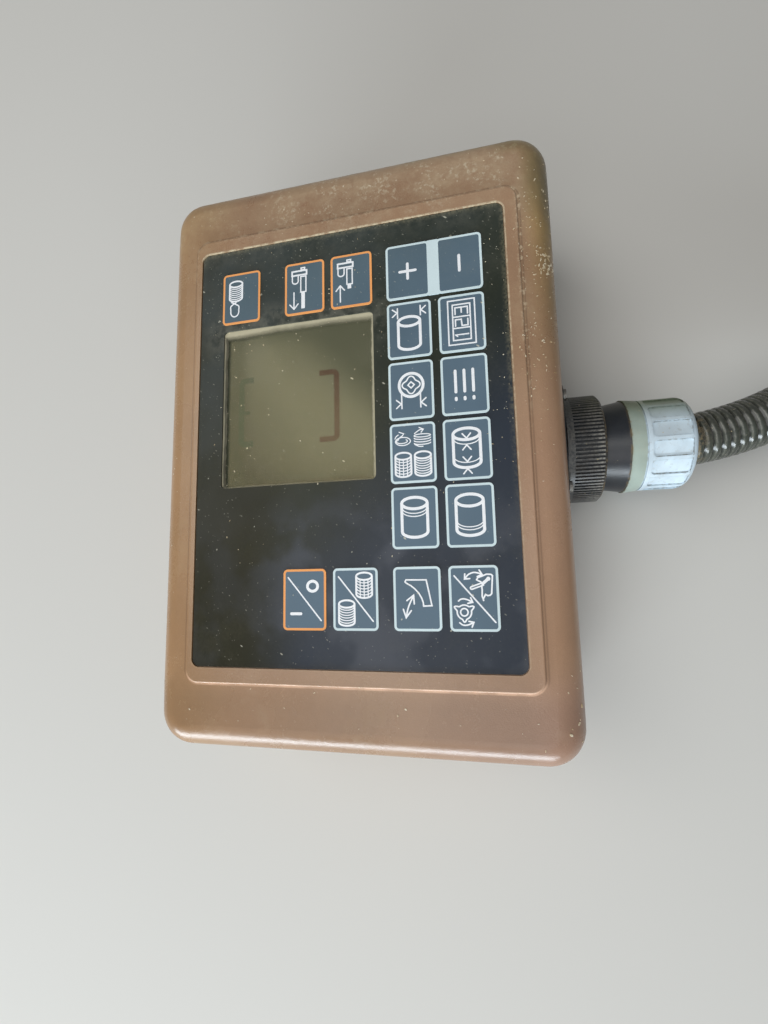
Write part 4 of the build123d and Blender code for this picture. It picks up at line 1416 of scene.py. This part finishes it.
class CONSOLE_OT_stage(bpy.types.Operator):
    """Adds the camera at the photo's angle, the pale floor and the soft lamps"""

    bl_idname = "console.stage"
    bl_label = "Stage"

    def execute(self, context):
        look = context.scene.console_stage
        scene = context.scene
        scene.view_settings.view_transform = "Standard"
        camera = bpy.data.objects.new("camera", bpy.data.cameras.new("camera"))
        camera.data.sensor_width = 36.0
        camera.data.lens = look.camera_lens
        camera.data.clip_start = 0.01
        camera.location = look.camera_place
        camera.rotation_euler = look.camera_turn
        scene.collection.objects.link(camera)
        scene.camera = camera

        bm = bmesh.new()
        bmesh.ops.create_grid(bm, x_segments=8, y_segments=8, size=3.0)
        floor = bpy.data.objects.new("floor", mesh_from(bm, "floor"))
        floor.location = (0.0, -0.15, -0.0002)
        material, tree, shader = new_material("pale_floor")
        tone = noise(tree, object_place(tree), 3.0, 2.0)
        base = Vector(look.floor_colour)
        colour = mix(tree, tone, base * 0.985, base * 1.015)
        connect(tree, shader, Base_Color=colour, Roughness=0.9)
        shader.inputs["Specular IOR Level"].default_value = 0.0
        floor.data.materials.append(material)
        scene.collection.objects.link(floor)

        world = bpy.data.worlds.new("soft_sky")
        world.use_nodes = True
        sky = world.node_tree.nodes["Background"]
        sky.inputs["Color"].default_value = (0.94, 0.97, 1.0, 1.0)
        sky.inputs["Strength"].default_value = look.sky_strength
        scene.world = world
        lamps = (
            # name, place, aim, turn about its own axis in degrees, width, height, power, colour
            ("side_strip", (-1.10, 0.28, 0.27), (-0.10, 0.0, 0.38), 0.0, 1.5, 0.28, look.side_power,
             (0.84, 0.93, 1.0)),
            ("side_panel", (-0.75, 0.10, 1.05), (0.0, 0.0, 0.05), 0.0, 0.8, 0.6, look.side_panel_power,
             (1.0, 0.98, 0.97)),
            ("top_panel", (0.21, 0.73, 1.50), (0.21, 0.73, 0.0), 51.0, 1.9, 0.95, look.top_power,
             (1.0, 0.985, 0.95)),
        )
        for name, place, aim, turn, width, height, power, colour in lamps:
            lamp = bpy.data.lights.new(name, "AREA")
            lamp.shape = "RECTANGLE"
            lamp.size, lamp.size_y = width, height
            lamp.energy = power
            lamp.color = colour
            holder = bpy.data.objects.new(name, lamp)
            facing = (Vector(aim) - Vector(place)).to_track_quat("-Z", "Y").to_matrix().to_4x4()
            turned = facing @ Matrix.Rotation(math.radians(turn), 4, "Z")
            holder.matrix_world = Matrix.Translation(place) @ turned
            scene.collection.objects.link(holder)
        return {"FINISHED"}


class CONSOLE_OT_shader_groups(bpy.types.Operator):
    """Adds the shader groups that the finishes share"""

    bl_idname = "console.shader_groups"
    bl_label = "Shader groups"

    def execute(self, context):
        group_settled_dust()
        group_moulded_grain()
        group_broad_patches()
        group_scuff_lines()
        group_panel_outline()
        group_round_about()
        return {"FINISHED"}


class CONSOLE_OT_conduit(bpy.types.Operator):
    """Adds the corrugated conduit from the near gland nut, round its coil, to the far plug"""

    bl_idname = "console.conduit"
    bl_label = "Conduit"

    def execute(self, context):
        look = context.scene.console_conduit
        line = smooth_line(lead_route())
        length = along_line(line, [0.0])[2]
        rows = rib_stations(length, look.rib_pitch)
        spots, ways, length = along_line(line, [row[0] for row in rows])
        heights = np.array([row[1] for row in rows])
        radii = conduit_diameter / 2 - look.rib_depth * (1 - heights)
        side = Vector((1.0, 0.0, 0.0))
        rings = []
        angles = np.linspace(0.0, 2 * math.pi, look.sides, endpoint=False)
        for spot, way, radius in zip(spots, ways, radii):
            way = Vector(way)
            side = (side - way * side.dot(way)).normalized()
            up = np.array(way.cross(side))
            across = np.outer(np.cos(angles), np.array(side)) + np.outer(np.sin(angles), up)
            rings.append(spot + radius * across)
        points = np.concatenate(rings)
        n = look.sides
        faces = []
        for i in range(len(rings) - 1):
            for j in range(n):
                k = (j + 1) % n
                faces.append((i * n + j, (i + 1) * n + j, (i + 1) * n + k, i * n + k))
        faces.append(tuple(range(n)))
        faces.append(tuple(range((len(rings) - 1) * n + n - 1, (len(rings) - 1) * n - 1, -1)))
        mesh = bpy.data.meshes.new("conduit")
        mesh.from_pydata(points.tolist(), [], faces)
        rib = mesh.attributes.new("rib", "FLOAT", "POINT")
        rib.data.foreach_set("value", np.repeat(heights, n).astype(np.float32))
        mesh.shade_smooth()
        conduit = new_piece("conduit", mesh, conduit_plastic())
        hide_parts("conduit_run", "conduit_coil", "conduit_tail")
        ties = [cable_tie(number + 1, angle) for number, angle in enumerate(tie_angles)]
        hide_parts("coil_ties")
        return {"FINISHED"}


def tie_loop():
    """The centre line of a tie round the wound turns, as points outward and up, and its top's height."""
    half_band, gap_across, gap_up = 0.55 * MM, 0.4 * MM, 0.2 * MM
    half_across = conduit_diameter / 2 + gap_across + half_band
    half_up = (coil_high.z - coil_low.z) / 2 + gap_up + half_band
    corner = 10.75 * MM
    rows = []
    corners = (
        # which corner, first angle of its arc
        ((-1, 1), 90), ((-1, -1), 180), ((1, -1), 270), ((1, 1), 0),
    )
    for (right, upper), first in corners:
        centre = Vector((right * (half_across - corner), upper * (half_up - corner)))
        for step in range(9):
            angle = math.radians(first + 90 * step / 8)
            rows.append(centre + corner * Vector((math.cos(angle), math.sin(angle))))
    return rows, half_up


def cable_tie(number, angle):
    """One ratchet tie: a band round the turns, its head on top and its cut tail standing out of the head."""
    loop, half_up = tie_loop()
    width, thick = 4.8 * MM, 1.1 * MM
    turn = math.radians(90 - angle)
    outward = Vector((math.cos(turn), math.sin(turn), 0.0))
    along = Vector((-outward.y, outward.x, 0.0))
    middle = coil_centre + outward * coil_radius + Vector((0.0, 0.0, (coil_low.z + coil_high.z) / 2))

    def to_frame(across, side, up):
        """From the tie's own across, side and up to the model's frame."""
        return middle + outward * across + along * side + Vector((0.0, 0.0, up))

    bm = bmesh.new()

    def band(path, closed):
        """A flat band along a path of (across, up) points, with softened edges."""
        section = (
            (-0.5, -0.3), (-0.42, -0.5), (0.42, -0.5), (0.5, -0.3),
            (0.5, 0.3), (0.42, 0.5), (-0.42, 0.5), (-0.5, 0.3),
        )
        rings = []
        count = len(path)
        for i, here in enumerate(path):
            before = path[i - 1] if closed or i else here
            after = path[(i + 1) % count] if closed or i < count - 1 else here
            way = (after - before).normalized()
            out = Vector((way.y, -way.x))
            verts = []
            for share_side, share_out in section:
                place = here + out * share_out * thick
                verts.append(bm.verts.new(to_frame(place.x, share_side * width, place.y)))
            rings.append(verts)
        for first, second in list(zip(rings, rings[1:])) + ([(rings[-1], rings[0])] if closed else []):
            for k in range(len(section)):
                m = (k + 1) % len(section)
                bm.faces.new((first[k], first[m], second[m], second[k]))
        if not closed:
            bm.faces.new(rings[0])
            bm.faces.new(rings[-1])

    band(loop, True)
    head_at = Vector((-1.5 * MM, half_up))
    tail_height, tail_step, tail_curl = 1.9 * MM, 2.4 * MM, 0.35 * MM
    tail = []
    for s in range(8):
        across = head_at.x - 1.0 * MM - tail_step * s
        tail.append(Vector((across, head_at.y + tail_height + tail_curl * s * s)))
    band(tail, False)
    made = bmesh.ops.create_cube(bm, size=1.0)["verts"]
    size = Vector((6.2, 8.0, 4.4)) * MM
    for v in made:
        v.co = to_frame(head_at.x + v.co.x * size.x, v.co.y * size.y, head_at.y + (v.co.z + 0.5) * size.z)
    rims = [e for e in bm.edges if all(v in made for v in e.verts)]
    bmesh.ops.bevel(bm, geom=rims, offset=0.9 * MM, segments=3, affect="EDGES")
    mesh = mesh_from(bm, f"cable_tie_{number}")
    # A tie keeps the plain black that the model gives its ties.
    black = frame["nodes"]["coil_ties"].data.materials[0]
    return new_piece(f"cable_tie_{number}", mesh, black)


class CONSOLE_OT_housing(bpy.types.Operator):
    """Finishes the two shells, the gasket, the case screws and the bracket's inserts"""

    bl_idname = "console.housing"
    bl_label = "Housing"

    def execute(self, context):
        plastic = brown_moulding()
        finish_node("front_shell", plastic)
        finish_node("rear_shell", plastic)
        finish_node("shell_gasket", soft_rubber())
        zinc = dull_metal("dull_zinc", (0.55, 0.55, 0.56), (0.30, 0.29, 0.27), 0.34)
        finish_node("case_screws", zinc)
        finish_node(
            "receptacle_screws", dull_metal("dirty_zinc", (0.30, 0.29, 0.27), (0.10, 0.085, 0.06), 0.5),
        )
        finish_node("mount_inserts", dull_metal("dull_brass", (0.72, 0.55, 0.27), (0.38, 0.27, 0.12), 0.3))
        return {"FINISHED"}


class CONSOLE_OT_keypad(bpy.types.Operator):
    """Finishes the keypad film, the keys and their frames"""

    bl_idname = "console.keypad"
    bl_label = "Keypad film"

    def execute(self, context):
        look = context.scene.console_keypad
        finish_node(
            "keypad_overlay", printed_film("black_film", look.film, 0.32, 0.17, edge_dust=True, haze_and_sheen=0.85),
        )
        finish_node("key_pads", printed_film("slate_film", look.key, 0.36, 0.09, fade=(0.80, 0.80, 0.74)))
        finish_node("key_frames_grey", printed_film("grey_frame_print", look.grey_frame, 0.42, 0.04))
        finish_node("key_frames_orange", printed_film("orange_frame_print", look.orange_frame, 0.42, 0.04))
        return {"FINISHED"}


class CONSOLE_OT_symbols(bpy.types.Operator):
    """Prints the symbols on the keys as thin raised lines"""

    bl_idname = "console.symbols"
    bl_label = "Key symbols"

    def execute(self, context):
        look = context.scene.console_keypad
        ink = symbol_print()
        widths = (look.fine_line, look.bold_line, look.heavy_line, look.medium_line, look.thin_line)
        print_low, line_step = pad_top_z - 0.01 * MM, 0.001 * MM
        for name, column, row_y, lines in SYMBOLS:
            x = left_column_x if column is None else grid_right_x - (4 - column) * column_pitch
            centre = Vector((keypad_centre.x + x, keypad_centre.y + row_y))
            bm = bmesh.new()
            for number, (points, weight, closed) in enumerate(lines()):
                half = widths[weight] / 2
                top = pad_top_z + look.print_height + number * line_step
                placed = [tuple(centre + Vector(point) * MM) for point in points]
                draw_line(bm, placed, half, closed, print_low, top, weight == BAR)
            new_piece(f"symbol_{name}", mesh_from(bm, f"symbol_{name}", smooth=False), ink)
        return {"FINISHED"}


class CONSOLE_OT_display(bpy.types.Operator):
    """Finishes the pane and the unlit display with its two faint brackets"""

    bl_idname = "console.display"
    bl_label = "Display"

    def execute(self, context):
        finish_node("display_window", clear_pane())
        finish_node("display_module", display_glass())
        return {"FINISHED"}


def dry_straw():
    """Pale dry straw with fine fibre streaks."""
    material, tree, shader = new_material("dry_straw")
    tone = patches(tree, 0.003, 5.0)
    colour = mix(tree, tone, (0.82, 0.76, 0.60), (0.58, 0.44, 0.24))
    fibres = noise(tree, object_place(tree), 5200.0, 3.0)
    colour = mix(tree, ramp(tree, fibres, 0.4, 0.7, 0.0, 0.5), colour, (0.42, 0.31, 0.16))
    connect(tree, shader, Base_Color=colour, Roughness=0.6, Normal=bump(tree, fibres, 0.00001))
    return material


def surface_under(names):
    """A search tree over the meshes of CAD nodes."""
    points, faces = [], []
    for name in names:
        mesh = frame["nodes"][name].data
        first = len(points)
        points += [v.co.copy() for v in mesh.vertices]
        faces += [[first + i for i in face.vertices] for face in mesh.polygons]
    return BVHTree.FromPolygons(points, faces)


def add_flake(bm, place, normal, heading, length, width, thick):
    """One sliver of chaff lying on a surface: a six-sided plate with pointed, lifted ends."""
    ahead = Vector((math.cos(heading), math.sin(heading), 0.0))
    ahead = (ahead - normal * ahead.dot(normal)).normalized()
    side = normal.cross(ahead)
    plan = ((0.5, 0.0), (0.28, 0.5), (-0.30, 0.46), (-0.5, 0.05), (-0.26, -0.5), (0.32, -0.42))
    feet, tops = [], []
    for share_ahead, share_side in plan:
        lift = thick * 0.5 * (2 * share_ahead) ** 2
        spot = place + ahead * share_ahead * length + side * share_side * width + normal * (
            lift - 0.15 * thick
        )
        feet.append(bm.verts.new(spot))
        tops.append(bm.verts.new(spot + normal * thick))
    bm.faces.new(tops)
    bm.faces.new(feet[::-1])
    for a, b, c, d in zip(feet, feet[1:] + feet[:1], tops[1:] + tops[:1], tops):
        bm.faces.new((a, b, c, d))


class CONSOLE_OT_chaff(bpy.types.Operator):
    """Lays loose slivers and crumbs of chaff on the keypad and on the housing's dusty sides"""

    bl_idname = "console.chaff"
    bl_label = "Loose chaff"

    def execute(self, context):
        straw = dry_straw()
        draw = random.Random(20)
        flake_thickness, steepest, start_z = 0.11 * MM, 0.35, 0.2
        surface = surface_under(("front_shell", "keypad_overlay", "key_pads", "display_window"))
        spreads = (
            # name, count, middle, half spread, longest, in millimetres
            ("keypad", 46, (10.0, 5.0), (66.0, 48.0), 0.85),
            ("keypad", 30, (58.0, 20.0), (20.0, 34.0), 0.80),
            ("keypad", 34, (30.0, -54.5), (44.0, 4.5), 0.75),
            ("housing", 60, (52.0, -66.5), (44.0, 4.5), 0.95),
            ("housing", 20, (57.0, -73.0), (3.8, 3.0), 2.3),
            ("housing", 26, (57.5, -70.5), (6.0, 3.6), 1.2),
            ("housing", 60, (35.0, -67.5), (55.0, 4.5), 0.75),
            ("housing", 30, (60.0, -74.3), (44.0, 1.6), 0.90),
            ("housing", 34, (97.5, -10.0), (10.0, 58.0), 0.85),
            ("housing", 16, (-96.0, 0.0), (10.0, 64.0), 0.95),
            ("housing", 8, (0.0, 69.0), (80.0, 3.0), 0.80),
            ("housing", 12, (-90.0, -72.5), (12.0, 2.6), 1.5),
        )
        for name in ("keypad", "housing"):
            bm = bmesh.new()
            for owner, count, middle, spread, longest in spreads:
                if owner != name:
                    continue
                for _ in range(count):
                    x = (middle[0] + spread[0] * draw.uniform(-1.0, 1.0)) * MM
                    y = (middle[1] + spread[1] * draw.uniform(-1.0, 1.0)) * MM
                    length = longest * MM * (0.35 + 0.65 * draw.random() ** 2)
                    width = length * draw.uniform(0.22, 0.55)
                    heading = draw.uniform(0.0, 2 * math.pi)
                    place, normal, _, _ = surface.ray_cast(Vector((x, y, start_z)), Vector((0.0, 0.0, -1.0)))
                    if place is None or normal.z < steepest:
                        continue
                    add_flake(bm, place, normal, heading, length, width, flake_thickness)
            new_piece(
                f"chaff_on_{name}", mesh_from(bm, f"chaff_on_{name}", smooth=False), straw,
            )
        return {"FINISHED"}


class CONSOLE_OT_plugs(bpy.types.Operator):
    """Finishes the receptacle, the knurled rings, the plugs, the collars and the gland nuts at both ends"""

    bl_idname = "console.plugs"
    bl_label = "Plugs"

    def execute(self, context):
        look = context.scene.console_plug
        ends = (("", near_origin, near_axis, Vector((1.0, 0.0, 0.0))),
                ("far_", far_origin, far_axis, far_axis.cross(Vector((0.0, 0.0, 1.0))).normalized()))
        for prefix, origin, axis, reference in ends:
            end = {"origin": tuple(origin), "axis": tuple(axis), "reference": tuple(reference)}
            finish_node(prefix + "coupling_ring", plug_plastic(
                prefix + "ring_plastic", look.black, dirt_lines=((ring_end, 1.2 * MM),),
                crest=(21.3 * MM, 21.7 * MM), gloss=0.30, dusty=0.09, **end))
            finish_node(prefix + "plug_body", plug_plastic(
                prefix + "plug_plastic", look.black, dirt_lines=((ring_end, 0.8 * MM), (shell_end, 0.9 * MM)),
                gloss=0.31, dusty=0.02, **end))
            finish_node(prefix + "gland_body", plug_plastic(
                prefix + "collar_plastic", look.collar, dirt_lines=((shell_end, 0.6 * MM),),
                gloss=0.36, **end))
            finish_node(prefix + "gland_nut", plug_plastic(
                prefix + "nut_plastic", look.nut, dirt_lines=((collar_end, 0.7 * MM), (nut_end, 0.5 * MM)),
                gloss=0.30, dirt_share=0.8, dusty=0.08, pockets=True, **end))
        finish_node("panel_receptacle", plug_plastic(
            "receptacle_plastic", look.black, origin=tuple(near_origin), axis=tuple(near_axis),
            gloss=0.4, dusty=0.2))
        finish_node("far_contacts", dull_metal("contact_brass", (0.72, 0.56, 0.28), (0.45, 0.33, 0.15), 0.22))
        return {"FINISHED"}


STEPS = (
    CONSOLE_OT_stage, CONSOLE_OT_shader_groups, CONSOLE_OT_conduit, CONSOLE_OT_housing, CONSOLE_OT_keypad,
    CONSOLE_OT_symbols, CONSOLE_OT_display, CONSOLE_OT_chaff, CONSOLE_OT_plugs,
)
SETTINGS = (
    ("console_stage", StageSettings),
    ("console_housing", HousingSettings),
    ("console_keypad", KeypadSettings),
    ("console_display", DisplaySettings),
    ("console_plug", PlugSettings),
    ("console_conduit", ConduitSettings),
)


class CONSOLE_PT_panel(bpy.types.Panel):
    """Lists the console's settings and steps"""

    bl_idname = "CONSOLE_PT_panel"
    bl_label = "Control console"
    bl_space_type = "VIEW_3D"
    bl_region_type = "UI"
    bl_category = "Console"

    def draw(self, context):
        for name, group in SETTINGS:
            box = self.layout.box()
            box.label(text=group.__doc__)
            for key in group.__annotations__:
                box.prop(getattr(context.scene, name), key)
        for step in STEPS:
            self.layout.operator(step.bl_idname)


def register():
    for name, group in SETTINGS:
        bpy.utils.register_class(group)
        setattr(bpy.types.Scene, name, PointerProperty(type=group))
    for step in STEPS:
        bpy.utils.register_class(step)
    bpy.utils.register_class(CONSOLE_PT_panel)


def unregister():
    bpy.utils.unregister_class(CONSOLE_PT_panel)
    for step in reversed(STEPS):
        bpy.utils.unregister_class(step)
    for name, group in reversed(SETTINGS):
        delattr(bpy.types.Scene, name)
        bpy.utils.unregister_class(group)


def main():
    register()
    bpy.ops.console.stage()
    bpy.ops.console.shader_groups()
    bpy.ops.console.conduit()
    bpy.ops.console.housing()
    bpy.ops.console.keypad()
    bpy.ops.console.symbols()
    bpy.ops.console.display()
    bpy.ops.console.chaff()
    bpy.ops.console.plugs()


if __name__ == "__main__":
    main()
